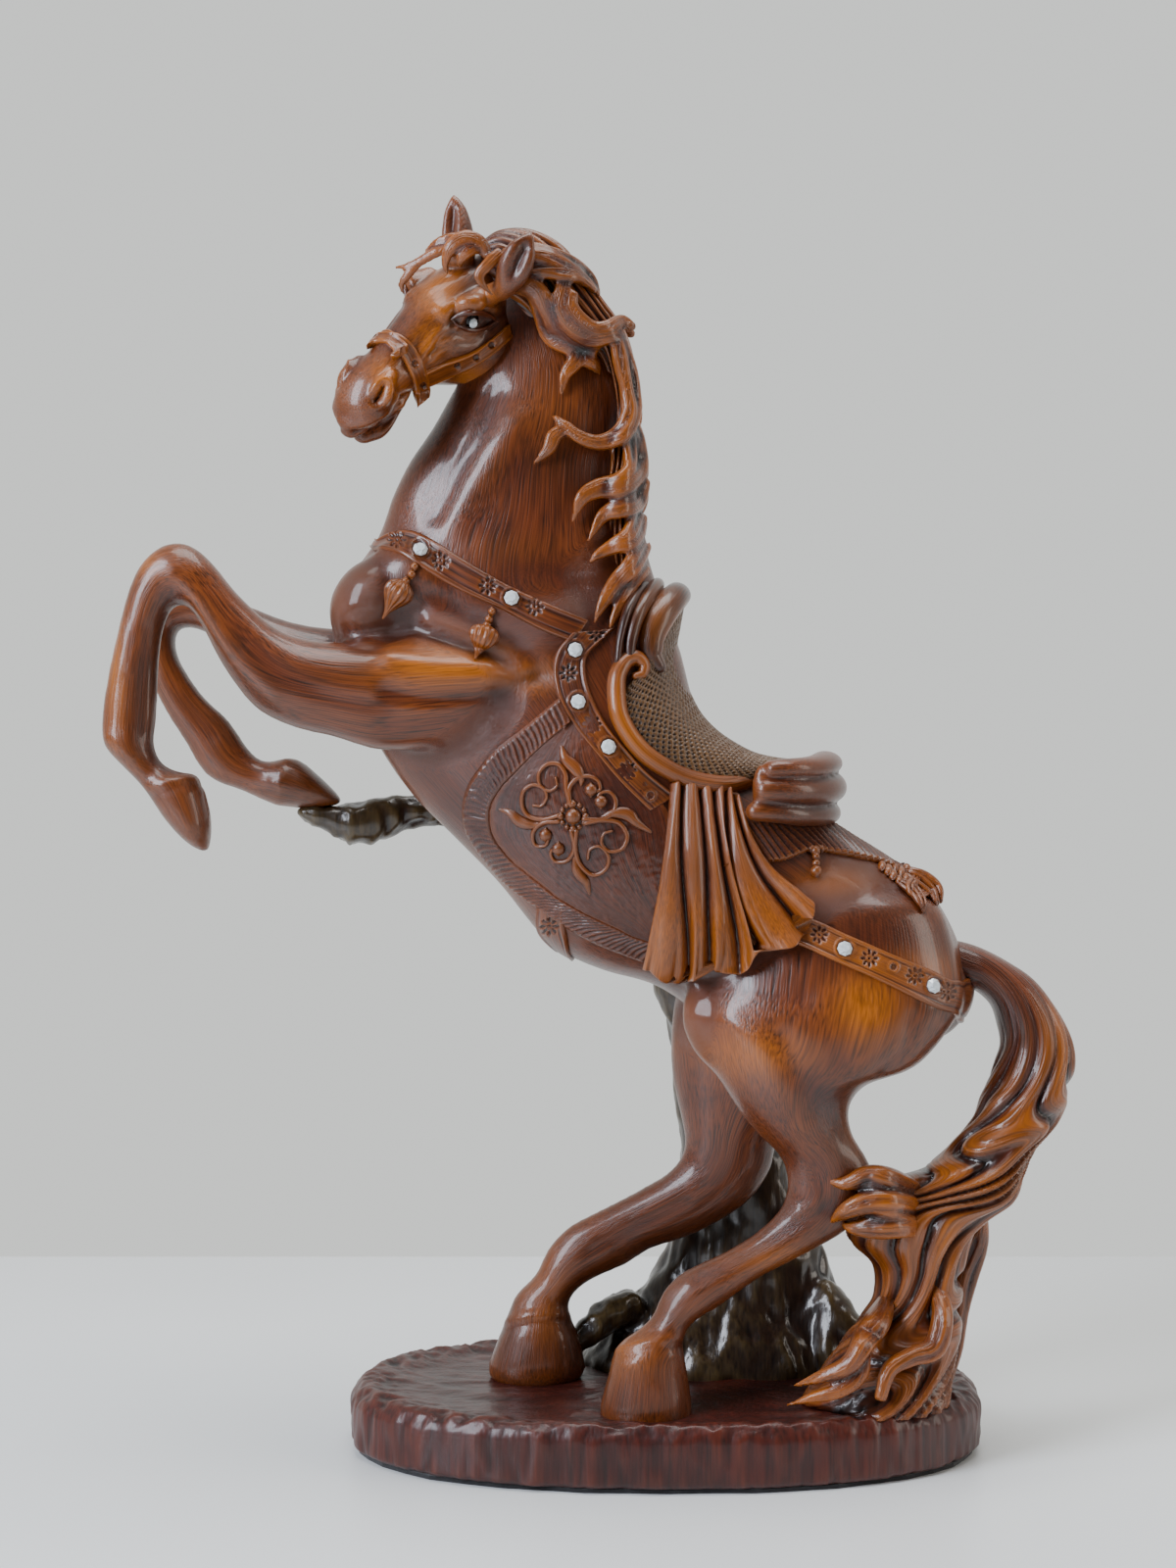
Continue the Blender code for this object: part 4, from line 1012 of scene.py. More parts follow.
@dataclass
class Head:
    """The head, turned and tilted to the near side, in its own frame of way, height and side.

    way runs from the poll to the muzzle, height towards the forehead and side to the near cheek,
    all in millimetres. Slices give way, top, underside and half width.
    """

    poll: tuple[float, float, float] = (494, 256, -24)
    axis_way: tuple[float, float, float] = (-0.625, -0.400, -0.670)
    side_way: tuple[float, float, float] = (0.760, -0.505, -0.410)
    slices: Rows = table(
        (-3, -4, -17, 7), (3, 0, -25, 10.5), (10, 2.2, -31, 12.6), (18, 2.8, -33, 13.6),
        (26, 2.2, -31, 12.6), (34, 0.6, -25, 10.4), (41, -0.8, -20.5, 8.6), (47, -2, -18.2, 7.8),
        (53, -3, -18.4, 8.4), (59, -4.8, -18.6, 8.8), (64, -8, -17.6, 7.2), (66.5, -11.6, -16, 4))
    # Forms of way, height, side, half height and half width: jaw, brow and nostril on each side
    paired: list[Rows] = table(
        [(5, -18, 7.5, 7, 4), (12, -21, 8.6, 11.5, 7.4), (20, -23, 8.6, 12, 7.6), (28, -19.5, 7.8, 7.4, 4)],
        [(14, -2, 10.2, 2, 2.4), (20, -2.4, 10.2, 3, 3.6), (26, -5, 10.2, 1.6, 1.8)],
        [(51, -6, 6.4, 2, 2), (56.5, -8, 6.8, 4.2, 3.4), (62, -11, 6.0, 2.4, 1.8)])
    # The chin and the lips
    single: list[Rows] = table(
        [(44, -17, 0, 3, 5), (52, -20.5, 0, 3.2, 5.6), (58.5, -22.5, 0, 3.2, 5.6),
         (63, -22.5, 0, 2.2, 3.4)],
        [(56, -13, 0, 5, 7.4), (62.5, -15, 0, 4.4, 7), (66.5, -16.6, 0, 2.4, 4.2)])
    voxel_mm: float = 0.55
    skin: Skin | None = None
    # Pulls of the carving tool on both halves: reach, height, then places on the sheet
    strokes: list = table(
        (2.6, 1.5, [(452, 318), (468, 311), (486, 309), (504, 315)]),
        (3.4, -1.5, [(466, 328), (484, 328), (500, 328)]),
        (1.2, -0.7, [(466, 341), (480, 345), (496, 341)]),
        (1.3, -0.5, [(468, 350), (482, 351), (496, 346)]),
        (1.1, -0.6, [(446, 352), (452, 344), (462, 340)]),
        (1.1, -0.6, [(440, 362), (447, 356), (458, 352)]),
        (1.8, 0.7, [(458, 322), (440, 345), (425, 372)]),
        (2.0, -0.8, [(448, 330), (430, 350), (415, 372)]),
        (1.7, -3.2, [(392, 394), (387, 403), (384, 408)]),
        (0.9, 0.7, [(398, 388), (400, 398), (395, 410), (386, 416)]),
        (0.9, 0.6, [(381, 414), (378, 404), (384, 392), (393, 386)]),
        (1.1, -1.3, [(424, 417), (410, 422), (395, 430), (378, 439), (362, 443)]),
        (1.4, 0.6, [(418, 408), (402, 418), (384, 428), (366, 436)]),
        (1.2, -0.6, [(408, 398), (414, 408), (424, 412)]),
        (3.0, -0.9, [(470, 388), (462, 378), (456, 366)]))
    gold: Rows = table(
        (450, 300, 26, 40, 0.8), (440, 350, 22, 26, 0.75), (395, 385, 22, 20, 0.75),
        (480, 385, 26, 14, 0.8), (495, 300, 18, 16, 0.6), (410, 405, 20, 14, 0.5),
        (470, 345, 26, 12, 0.35), (362, 402, 30, 34, 0.2))

    def frame(self) -> tuple[Array, Array, Array, Array]:
        """Its poll and the three directions: way, height and side."""
        way = unit(np.array(self.axis_way))
        side = np.array(self.side_way)
        side = unit(side - way * side.dot(way))
        return SHEET.seen(*self.poll), way, np.cross(way, side), side

    def on(self, rows: Rows | Array) -> Array:
        """Points for rows of way, height and side."""
        poll, way, top, side = self.frame()
        rows = np.asarray(rows, float)
        return poll + (rows[..., :1] * way + rows[..., 1:2] * top + rows[..., 2:3] * side) * MM

    def read(self, points: Array) -> Array:
        """Way, height and side of points, in millimetres."""
        poll, way, top, side = self.frame()
        return (points - poll) @ np.stack([way, top, side], 1) / MM

    def other_cheek(self, points: Array) -> Array:
        """The same points on the other half of the head."""
        return self.on(self.read(points) * (1, 1, -1))

    def copied(self, skin: Skin) -> Skin:
        """A skin's plain copy on the other half of the head."""
        return Skin(self.other_cheek(skin.points), skin.quads[:, ::-1], skin.tris[:, ::-1], skin.grain)

    def lobe(self, rows: Rows, steps: int = 4, sides: int = 24) -> Skin:
        """A form along the head: rows of way, height, side, half height and half width."""
        rows = through(rows, steps)
        _, _, top, side = self.frame()
        return tube(self.on(rows[:, :3]), top * rows[:, 3:4] * MM, side * rows[:, 4:5] * MM, sides)

    def shape(self) -> Skin:
        """The carved head: skull, cheeks, brows, muzzle, chin and ears fused and worked over."""
        rows = through(self.slices, 5)
        spine = [(row[0], (row[1] + row[2]) / 2, 0, (row[1] - row[2]) / 2, row[3]) for row in rows]
        parts = [self.lobe(spine, 1, 48)]
        for hand in (-1, 1):
            parts += [self.lobe(np.array(rows) * (1, 1, hand, 1, 1)) for rows in self.paired]
        parts += [self.lobe(rows) for rows in self.single]
        parts += self.ears()
        skin = fused(parts, self.voxel_mm, 6)
        chart = DepthChart(skin, 1)
        strokes = []
        for reach, height, places in self.strokes:
            path = chart.lifted(*through(places, 4).T)
            strokes += [Stroke(path, reach, height), Stroke(self.other_cheek(path), reach, height)]
        skin.carved(strokes)
        skin.carved(self.ear_hollows())
        skin.points = skin.evened(skin.points, 1)
        return skin

    @staticmethod
    def ears() -> list[Skin]:
        """Both ears, each a leaf with a pointed tip."""
        far = [(468, 262, -30, 5.0, 4.0), (467, 240, -29, 4.9, 3.6), (465, 216, -28, 3.5, 2.7),
               (463.5, 203, -28, 1.5, 1.2), (463, 199, -28, 0.5, 0.5)]
        near = [(500, 300, -32, 3, 3), (514, 294, -37, 3.4, 3.2), (523, 277, -41, 5, 3.4),
                (532, 257, -43, 4.6, 3.0), (539, 243, -43, 2.2, 1.6), (541, 237, -43, 0.5, 0.5)]
        return [path_tube(far, 6, 28), path_tube(near, 6, 28)]

    @staticmethod
    def ear_hollows() -> list[Stroke]:
        """The hollows of both ears' shells."""
        far = through([(460, 250), (459, 232), (460, 212)], 5)
        near = through([(520, 286), (527, 270), (536, 252)], 5)
        return [Stroke(SHEET.seen(far[:, 0], far[:, 1], -31.5), 1.9, -2.2),
                Stroke(SHEET.seen(near[:, 0], near[:, 1], -45.5), 2.2, -2.8)]

    def built(self, material: Material) -> Piece:
        """The finished head."""
        skin = self.shape()
        skin.stained_and_shaded(0.55, 16)
        skin.relief *= 0.8
        skin.grain = skin.grain_b = self.read(skin.points) + (900.0, 0, 0)
        skin.glow = glow_at(skin.points, self.gold)
        self.skin = skin
        return dressed("head", skin, material)


@dataclass
class Hair:
    """Locks of hair, each a bundle of round strands that wander and run out to one tip."""

    wander: float = 0.22
    overlap: float = 1.28

    def lock(self, rows: Rows | Array, strands: int, chart: "DepthChart | None", seed: int,
             steps: int = 7) -> list[Skin]:
        """Strands side by side over a lock's width, higher towards its middle.

        Args:
            rows: across, down, half width, half thickness, and height over what carries it; or the
                depth instead of the height where no chart is given.
            strands: how many strands.
            chart: the depth chart of what carries the lock.
            seed: makes the lock's wandering its own.
            steps: rows made between two given ones.

        Returns:
            The strands.
        """
        rows = through(rows, steps)
        way = unit(np.gradient(rows[:, :2], axis=0))
        perp = np.stack([-way[:, 1], way[:, 0]], 1)
        run = travel(rows[:, :2])
        made = []
        for number in range(strands):
            share = (number + 0.5) / strands * 2 - 1
            phase = seed * 1.7 + number * 2.4
            drift = self.wander * np.sin(run / 13.0 + phase) * (1.0 if strands > 1 else 0.0)
            offset = (share * 0.82 + drift / strands) * rows[:, 2] * SHEET.units
            place = rows[:, :2] + perp * offset[:, None]
            dome = math.sqrt(max(0.0, 1 - share**2))
            lift = rows[:, 3] * (0.35 + 0.6 * dome) + 0.25 * np.sin(phase * 3)
            if chart is None:
                depth = rows[:, 4] - lift
            else:
                depth = np.minimum(chart.depth(place[:, 0], place[:, 1]), MIDDLE) - rows[:, 4] - lift * 0.5
            size = np.maximum(rows[:, 2] / strands * self.overlap, 0.32)
            thick = np.maximum(rows[:, 3] * 0.62, 0.32)
            table = np.column_stack([place, depth, size, np.minimum(thick, size * 1.9)])
            made.append(path_tube(table, 1, 14, start=seed * 37.0 + number * 11.0))
        return made


def combed_mass(limb: Limb, ridges: int, twist: float, amount_mm: float, begin: float,
                sides: int = 180) -> Skin:
    """A mass of hair: a limb whose skin is pushed in and out by ridges that sway and twist.

    A strand number runs round the limb, grows with the twist and sways with the run; the height is
    the root of the size of its half sine, so that ridges are round and the valleys sharp.

    Args:
        limb: the mass without its ridges.
        ridges: how many ridges go round it.
        twist: turns from its start to its end.
        amount_mm: how far the ridges stand from the valleys.
        begin: the share of its length where the ridges are half grown.
        sides: points round the limb.

    Returns:
        The closed skin.
    """
    centres, outs, deep = limb.frames()
    run = run_length(centres)[:, None]
    share = run / run[-1]
    turn = np.linspace(0, 2 * math.pi, sides, endpoint=False)[None]
    spread = outs[:, None] * np.cos(turn)[..., None] + deep[:, None] * np.sin(turn)[..., None]
    grown = smooth_step(share, begin - 0.16, begin + 0.16)
    points = (centres[:, None] + spread) / MM
    strand = ridges * (turn / (2 * math.pi) + twist * share)
    strand = strand + grown * (0.9 * np.sin(run / 13.0 + turn) + 0.45 * np.sin(run / 6.1 + 2 * turn + 1)
                               + 0.55 * value_noise(points, 21.0, 4))
    ridge = np.abs(np.sin(math.pi * strand)) ** 0.62
    thin = np.abs(np.sin(math.pi * (3 * strand + 0.6 * np.sin(run / 9.0)))) ** 0.7
    height = (ridge - 0.7 + 0.16 * (thin - 0.6)) * (1 + 0.45 * value_noise(points, 12.0, 9))
    rings = centres[:, None] + spread + unit(spread) * (height * grown * amount_mm * MM)[..., None]
    angle = 2 * math.pi * strand / ridges
    radius = np.linalg.norm(spread, axis=-1).mean() / MM
    along = np.broadcast_to(run, angle.shape)
    grain = np.stack([along, radius * np.cos(angle), radius * np.sin(angle)], -1)
    poles = np.stack([centres[0], centres[-1]])
    # Valleys between the ridges are darkened as painted shade together with dark stain; ridges go gold
    relief = np.clip((height * 2.2 + 0.25) * grown, -1, 0.8)
    return ringed(rings, poles, grain, grain[[0, -1], 0], relief)


@dataclass
class Mane:
    """The mane's mass on the crest, its locks over the neck, and the forelock between the ears.

    Locks give across, down, half width, half thickness and height over the neck.
    """

    hair: Hair = field(default_factory=Hair)
    voxel_mm: float = 0.74
    crest: Rows = table(
        (488, 250, 496, 284, -24, 7), (512, 236, 514, 304, -22, 11), (545, 238, 536, 322, -20, 13),
        (575, 256, 558, 344, -18, 14), (596, 283, 578, 362, -17, 14), (616, 311, 594, 366, -16, 13.5),
        (638, 341, 608, 372, -15, 12.5), (646, 374, 618, 384, -15, 11), (650, 405, 626, 410, -14, 11),
        (653, 428, 626, 438, -14, 11.5), (646, 455, 618, 460, -14, 12.5), (650, 490, 614, 490, -14, 14),
        (648, 525, 612, 525, -14, 15), (652, 560, 616, 565, -14, 16), (658, 592, 622, 602, -14, 16.5))
    locks: list[tuple[int, Rows]] = table(
        (3, [(516, 262, 2.6, 3, 1), (545, 258, 3.4, 3.6, 2), (575, 268, 3.4, 3.6, 2.4),
            (600, 286, 2.6, 3, 2), (612, 302, 0.6, 1, 1)]),
        (3, [(540, 276, 2.4, 3, 1), (566, 276, 3, 3.4, 2), (590, 280, 2.6, 3, 2.4),
            (598, 284, 0.8, 1, 2)]),
        (4, [(522, 288, 2.8, 2.8, 1), (545, 297, 3.8, 3.4, 2), (556, 318, 4.2, 3.4, 2.4),
            (566, 341, 4.2, 3.4, 2.4), (585, 354, 3.6, 3, 2.4), (588, 366, 3, 2.8, 2.2),
            (577, 382, 2, 2.4, 1.6), (573, 403, 0.4, 0.8, 0.6)]),
        (3, [(575, 292, 2.4, 3, 1.6), (572, 316, 3, 3.2, 2.6), (584, 336, 3, 3.2, 3),
            (604, 346, 2.8, 3, 3), (628, 342, 2.2, 2.6, 2), (640, 350, 0.8, 1.4, 1)]),
        (3, [(604, 350, 3, 3, 1.6), (598, 364, 3, 3, 2), (606, 372, 2.2, 2.6, 1.6),
            (612, 382, 0.6, 1, 0.8)]),
        (2, [(585, 300, 1.6, 2.4, 2.6), (584, 312, 2, 2.6, 3), (592, 325, 2.2, 2.8, 3),
            (606, 336, 2.2, 2.8, 3), (620, 335, 2.2, 2.8, 2.6), (634, 328, 2, 2.6, 1.6),
            (646, 334, 1.4, 2, 1)]),
        (3, [(632, 350, 3, 3.4, 1), (638, 375, 3.4, 3.6, 2), (643, 400, 3.4, 3.6, 2.6),
            (645, 420, 3.4, 3.6, 3), (638, 438, 3.2, 3.4, 3.2), (625, 448, 2.8, 3.2, 3.2),
            (608, 451, 2.4, 3, 3.2), (590, 445, 2.2, 2.8, 3), (576, 434, 1.8, 2.4, 2.6),
            (564, 424, 0.6, 1, 2)]),
        (2, [(580, 438, 1.2, 2, 2.4), (566, 444, 2, 2.4, 2.4), (560, 458, 1.8, 2.2, 1.8),
            (544, 474, 0.4, 0.8, 0.6)]),
        (4, [(643, 432, 3, 3.4, 0.6), (648, 455, 4, 3.8, 1.6), (648, 480, 4.4, 3.8, 2.4),
            (632, 494, 4, 3.4, 3), (610, 499, 3.2, 3.2, 3), (594, 509, 2.4, 2.8, 2.6),
            (584, 533, 0.4, 0.8, 0.6)]),
        (3, [(655, 492, 3, 3.4, 0.6), (648, 512, 3.6, 3.4, 1.8), (632, 519, 3, 3, 2),
            (615, 526, 2.2, 2.6, 1.8), (600, 553, 0.5, 0.8, 0.6)]),
        (3, [(652, 528, 3, 3.4, 0.6), (644, 548, 3.6, 3.2, 1.6), (628, 556, 2.8, 2.8, 1.8),
            (610, 566, 1.6, 2, 1.4), (602, 574, 0.5, 0.8, 0.8)]),
        (3, [(656, 556, 2.8, 3.2, 0.6), (644, 578, 3.4, 3, 1.6), (628, 596, 2.8, 2.8, 1.6),
            (614, 618, 1.6, 2, 1.2), (606, 636, 0.4, 0.8, 0.6)]),
        (2, [(656, 580, 2.4, 2.8, 1), (642, 600, 2.4, 2.6, 1.4), (630, 622, 1.6, 2, 1.2),
            (622, 642, 0.5, 0.8, 0.6)]))
    forelock: list[tuple[int, Rows]] = table(
        (3, [(498, 262, 2, 2.4, -37), (490, 248, 2.6, 2.8, -38), (474, 243, 2.8, 2.8, -39),
            (459, 253, 2.4, 2.6, -39), (454, 270, 1.4, 1.8, -38), (457, 280, 0.5, 0.8, -38)]),
        (2, [(492, 252, 2, 2.2, -37), (478, 256, 2.2, 2.4, -39), (470, 266, 1.4, 1.8, -39),
            (470, 274, 0.5, 0.8, -38)]),
        (2, [(510, 258, 2, 2.2, -39), (498, 270, 2, 2.2, -40), (489, 281, 1.8, 2, -40),
            (494, 292, 1.2, 1.6, -40), (504, 302, 0.4, 0.8, -39)]),
        (3, [(486, 244, 2, 2.2, -33), (464, 243, 2.2, 2.2, -34), (448, 248, 2, 2, -33),
            (434, 258, 0.8, 1.2, -31)]),
        (2, [(470, 250, 1.6, 2, -35), (444, 258, 1.8, 2, -34), (426, 268, 1.5, 1.8, -32),
            (412, 272, 0.9, 1.3, -31), (403, 273, 0.4, 0.6, -30)]),
        (2, [(430, 266, 1.2, 1.6, -32), (418, 278, 1.5, 1.8, -31), (410, 290, 1.2, 1.4, -30),
            (412, 301, 0.4, 0.6, -30)]))

    def built(self, neck: Skin, material: Material) -> Piece:
        """The finished mane: the mass, near locks, flatter far locks and the forelock."""
        mass = combed_mass(Limb(self.crest, 8), ridges=18, twist=0.35, amount_mm=2.4, begin=0.06, sides=230)
        carrying = Skin.joined([neck, mass])
        near, far = DepthChart(carrying), DepthChart(carrying.mirrored())
        skins = []
        for seed, (strands, rows) in enumerate(self.locks):
            skins += self.hair.lock(rows, strands, near, seed + 10)
            far_rows = [(x, y, w, t, max(0.4, h * 0.6)) for x, y, w, t, h in rows]
            skins += [strand.mirrored() for strand in self.hair.lock(far_rows, strands, far, seed + 70)]
        for seed, (strands, rows) in enumerate(self.forelock):
            skins += self.hair.lock(np.array(rows) * (1, 1, 0.85, 0.85, 1), strands, None, seed + 30)
        skin = fused(skins, self.voxel_mm, 1, keep_all=True)
        skin.combed(skins)
        skin.stained_and_shaded(0.3, 16)
        skin.relief = np.clip(skin.relief * 1.2 - 0.1, -1, 0.8)
        skin = Skin.joined([skin, mass])
        skin.glow = glow_at(skin.points, [(655, 425, 14, 20, 0.3), (640, 480, 30, 20, 0.2)])
        return dressed("mane", skin, material)


@dataclass
class Tail:
    """The tail: a smooth dock that breaks into wavy strands, down to the hock and the base."""

    ribs: Rows = table(
        (960, 958, 960, 1000, -14, 7), (982, 961, 982, 1009, -14, 8), (1003, 968, 995, 1011, -14, 9),
        (1028, 981, 1011, 1026, -14, 9.5), (1055, 1000, 1018, 1048, -14.5, 10),
        (1078, 1030, 1021, 1066, -15, 10.5), (1092, 1062, 1017, 1083, -15.5, 11),
        (1094, 1092, 1010, 1102, -16, 11.5), (1086, 1120, 1003, 1120, -17, 12),
        (1075, 1145, 996, 1142, -18, 12.5), (1053, 1170, 978, 1163, -19, 13),
        (1042, 1198, 955, 1185, -20, 13.5), (1032, 1224, 915, 1204, -21, 14),
        (1006, 1243, 868, 1226, -22, 14), (988, 1264, 868, 1262, -22, 14),
        (980, 1295, 893, 1290, -21, 13.5), (979, 1328, 895, 1322, -21, 13.5),
        (979, 1358, 880, 1346, -21, 14.5), (972, 1385, 862, 1370, -22, 16.5),
        (965, 1430, 820, 1430, -24, 20))
    hair: Hair = field(default_factory=Hair)
    tufts: list[tuple[int, Rows]] = table(
        (3, [(935, 1214, 4, 5, -34), (905, 1205, 4.4, 5, -37), (885, 1200, 3.6, 4.4, -38),
            (862, 1208, 2.2, 3, -39), (842, 1204, 0.4, 0.8, -39)]),
        (3, [(940, 1232, 4, 5, -34), (912, 1228, 4.4, 5, -38), (885, 1228, 3.6, 4.4, -40),
            (862, 1236, 2.4, 3, -40), (846, 1248, 0.5, 0.8, -38)]),
        (3, [(945, 1250, 4, 5, -33), (915, 1250, 4.4, 5, -37), (890, 1252, 3.6, 4.4, -38),
            (868, 1252, 1.8, 2.4, -38), (858, 1246, 0.4, 0.8, -37)]),
        (3, [(905, 1325, 4, 5, -32), (895, 1350, 4, 5, -36), (878, 1372, 3.6, 4.4, -40),
            (876, 1400, 3.4, 4, -43), (858, 1418, 2.4, 3, -46), (828, 1426, 1.6, 2, -46),
            (803, 1434, 0.4, 0.8, -45)]),
        (3, [(900, 1345, 4, 5, -36), (882, 1368, 3.4, 4.4, -42), (866, 1392, 3, 4, -45),
            (840, 1404, 2, 2.6, -45), (810, 1414, 0.5, 0.8, -43)]),
        (3, [(950, 1300, 4, 5, -33), (962, 1340, 3.4, 4.4, -32), (954, 1374, 3.4, 4.4, -35),
            (930, 1384, 3, 4, -38), (908, 1398, 2.6, 3.6, -41), (898, 1427, 1.8, 2.4, -44)]),
        (3, [(1004, 1236, 2, 3.4, -10), (998, 1266, 3.6, 4.4, -8), (986, 1300, 3.8, 4.4, -7),
            (978, 1335, 3.8, 4.4, -7), (970, 1375, 3.6, 4.4, -8), (962, 1412, 3, 3.6, -10)]))

    def built(self, material: Material) -> Piece:
        """The finished tail."""
        mass = combed_mass(Limb(self.ribs, 9), ridges=9, twist=0.6, amount_mm=3.0, begin=0.27)
        skins = []
        for seed, (strands, rows) in enumerate(self.tufts):
            x, y, w, t, depth = rows[0]
            rows = [(x, y, w * 0.6, t * 0.6, (depth - 44) / 3.2)] + list(rows[1:])
            skins += self.hair.lock(rows, strands, None, seed + 90)
        skin = fused(skins, 0.7, 1, keep_all=True)
        skin.combed(skins)
        skin.stained_and_shaded(0.35, 16)
        skin = Skin.joined([skin, mass])
        skin.glow = glow_at(skin.points, [(1080, 1060, 18, 60, 0.45), (930, 1235, 40, 26, 0.35),
                                          (965, 1270, 16, 50, 0.35), (1000, 1205, 40, 14, 0.3),
                                          (985, 1180, 30, 10, 0.3)])
        return dressed("tail", skin, material)


@dataclass
class TreeStump:
    """The tree trunk behind the belly, with bark, roots and the branch under the far fore hoof."""

    ribs: Rows = table(
        (676, 960, 775, 960, 22, 10), (668, 1004, 775, 1004, 24, 12), (680, 1050, 790, 1050, 26, 13),
        (690, 1120, 800, 1115, 27, 14), (695, 1175, 806, 1170, 28, 15), (692, 1225, 822, 1225, 28, 16),
        (680, 1272, 842, 1278, 28, 17), (655, 1312, 853, 1312, 28, 18.5), (624, 1342, 866, 1342, 27, 21),
        (590, 1385, 884, 1390, 25, 25))
    branch: Rows = table(
        (735, 1010, 26, 9, 9), (672, 950, 26, 8.5, 8.5), (600, 898, 23, 7, 7.5), (530, 862, 20, 6, 7),
        (458, 828, 16, 5, 6), (412, 830, 13, 5.4, 6), (368, 841, 11, 7, 6.5), (338, 836, 10, 5, 6),
        (310, 829, 10, 2.4, 4))
    roots: Rows = table(
        (845, 1325, 862, 1350, 892, 1392), (835, 1335, 842, 1362, 850, 1398),
        (640, 1330, 606, 1352, 572, 1386), (690, 1340, 690, 1366, 672, 1394),
        (735, 1345, 738, 1370, 726, 1400), (790, 1345, 800, 1368, 806, 1398))
    voxel_mm: float = 1.2
    bark_mm: float = 1.5

    def bark(self, skin: Skin) -> None:
        """Push the skin by ridges that run up the trunk: one less the size of a stretched noise."""
        normals = skin.normals()
        across = skin.points / MM * (1.0, 1.0, 0.16)
        bend = layered_noise(skin.points / MM, 14, 2, 3)[:, None] * 3
        ridges = 1 - 2 * np.abs(layered_noise(across + bend, 5.0, 2, 5))
        knots = layered_noise(skin.points / MM, 11, 3, 8)
        skin.points += normals * ((self.bark_mm * (0.8 * ridges + 0.9 * knots) - 0.4) * MM)[:, None]

    def built(self, material: Material) -> Piece:
        """The finished stump."""
        parts = [Limb(self.ribs).skin(48), path_tube(self.branch, 6, 20)]
        for x0, y0, x1, y1, x2, y2 in self.roots:
            parts.append(path_tube([(x0, y0, 16, 5, 6), (x1, y1, 11, 4.6, 6), (x2, y2, 5, 3, 4)], 6, 20))
        skin = fused(parts, self.voxel_mm, 14)
        self.bark(skin)
        skin.points = skin.evened(skin.points, 1)
        skin.stained_and_shaded(0.7, 14)
        skin.grain = skin.grain_b = skin.points[:, [2, 0, 1]] / MM
        return dressed("tree_stump", skin, material)


@dataclass
class OvalBase:
    """The oval base: a wall with upright ripples under a bumpy rim and a wrinkled top."""

    length: float = 193.0
    width: float = 114.0
    height: float = BASE_TOP
    under: float = 1.5
    bluntness: float = 2.3
    ripple_mm: float = 1.0
    turns: int = 440
    # The profile, as shares of the half length and of the wall's height
    profile: Rows = table(
        (0.95, 0.0), (0.975, 0.0), (0.99, 0.03), (1.0, 0.12), (1.0, 0.4), (1.002, 0.66), (0.996, 0.84),
        (0.975, 0.97), (0.94, 1.04), (0.88, 1.02), (0.8, 0.99), (0.7, 0.98), (0.5, 0.99), (0.2, 1.0),
        (0.02, 1.0))

    def built(self, material: Material) -> Piece:
        """The finished base: a blunt oval carried round a profile, then rippled and bumped."""
        turn = np.linspace(0, 2 * math.pi, self.turns, endpoint=False)
        power = self.bluntness
        blunt = (np.abs(np.cos(turn)) ** power + np.abs(np.sin(turn)) ** power) ** (-1 / power)
        oval = np.stack([np.cos(turn) * blunt * self.length / 2, np.sin(turn) * blunt * self.width / 2], 1)
        wall = self.height - self.under
        share, rise = through(self.profile, 6).T
        level = np.broadcast_to((self.under + wall * rise)[:, None, None], (len(share), self.turns, 1))
        points = np.concatenate([oval[None] * share[:, None, None], level], -1)
        out = np.concatenate([unit(oval), np.zeros((self.turns, 1))], 1)[None]
        rim = smooth_step(share, 0.93, 0.99)[:, None]
        stretched = points * (1.0, 1.0, 0.22)
        wave = layered_noise(stretched, 5.5, 3, 2) * 0.9 + 0.5 - np.abs(value_noise(stretched, 3.4, 6))
        points = points + out * (self.ripple_mm * rim * (wave - 0.9))[..., None]
        top = smooth_step(rise, 0.9, 1.0)[:, None] * (share < 0.99)[:, None]
        near_rim = np.exp(-(((share - 0.92) / 0.09) ** 2))[:, None]
        bumps = 1 - 2 * np.abs(layered_noise(points, 6.0, 3, 12))
        wrinkles = layered_noise(points * (1.0, 1.6, 1.0), 8.0, 3, 15)
        points[..., 2] += top * (near_rim * (bumps * 1.2 - 0.1) + (1 - near_rim) * wrinkles * 0.9)
        poles = np.array([[0, 0, self.under], [0, 0, self.height]])
        skin = ringed(points * MM, poles * MM, points[..., [2, 0, 1]], poles)
        skin.stained_and_shaded(0.35, 12)
        return dressed("oval_base", skin, material)


class Side(Enum):
    """Where tack lies on the horse, by the sign of its way out."""

    NEAR = -1
    FAR = 1
    ROUND = 0


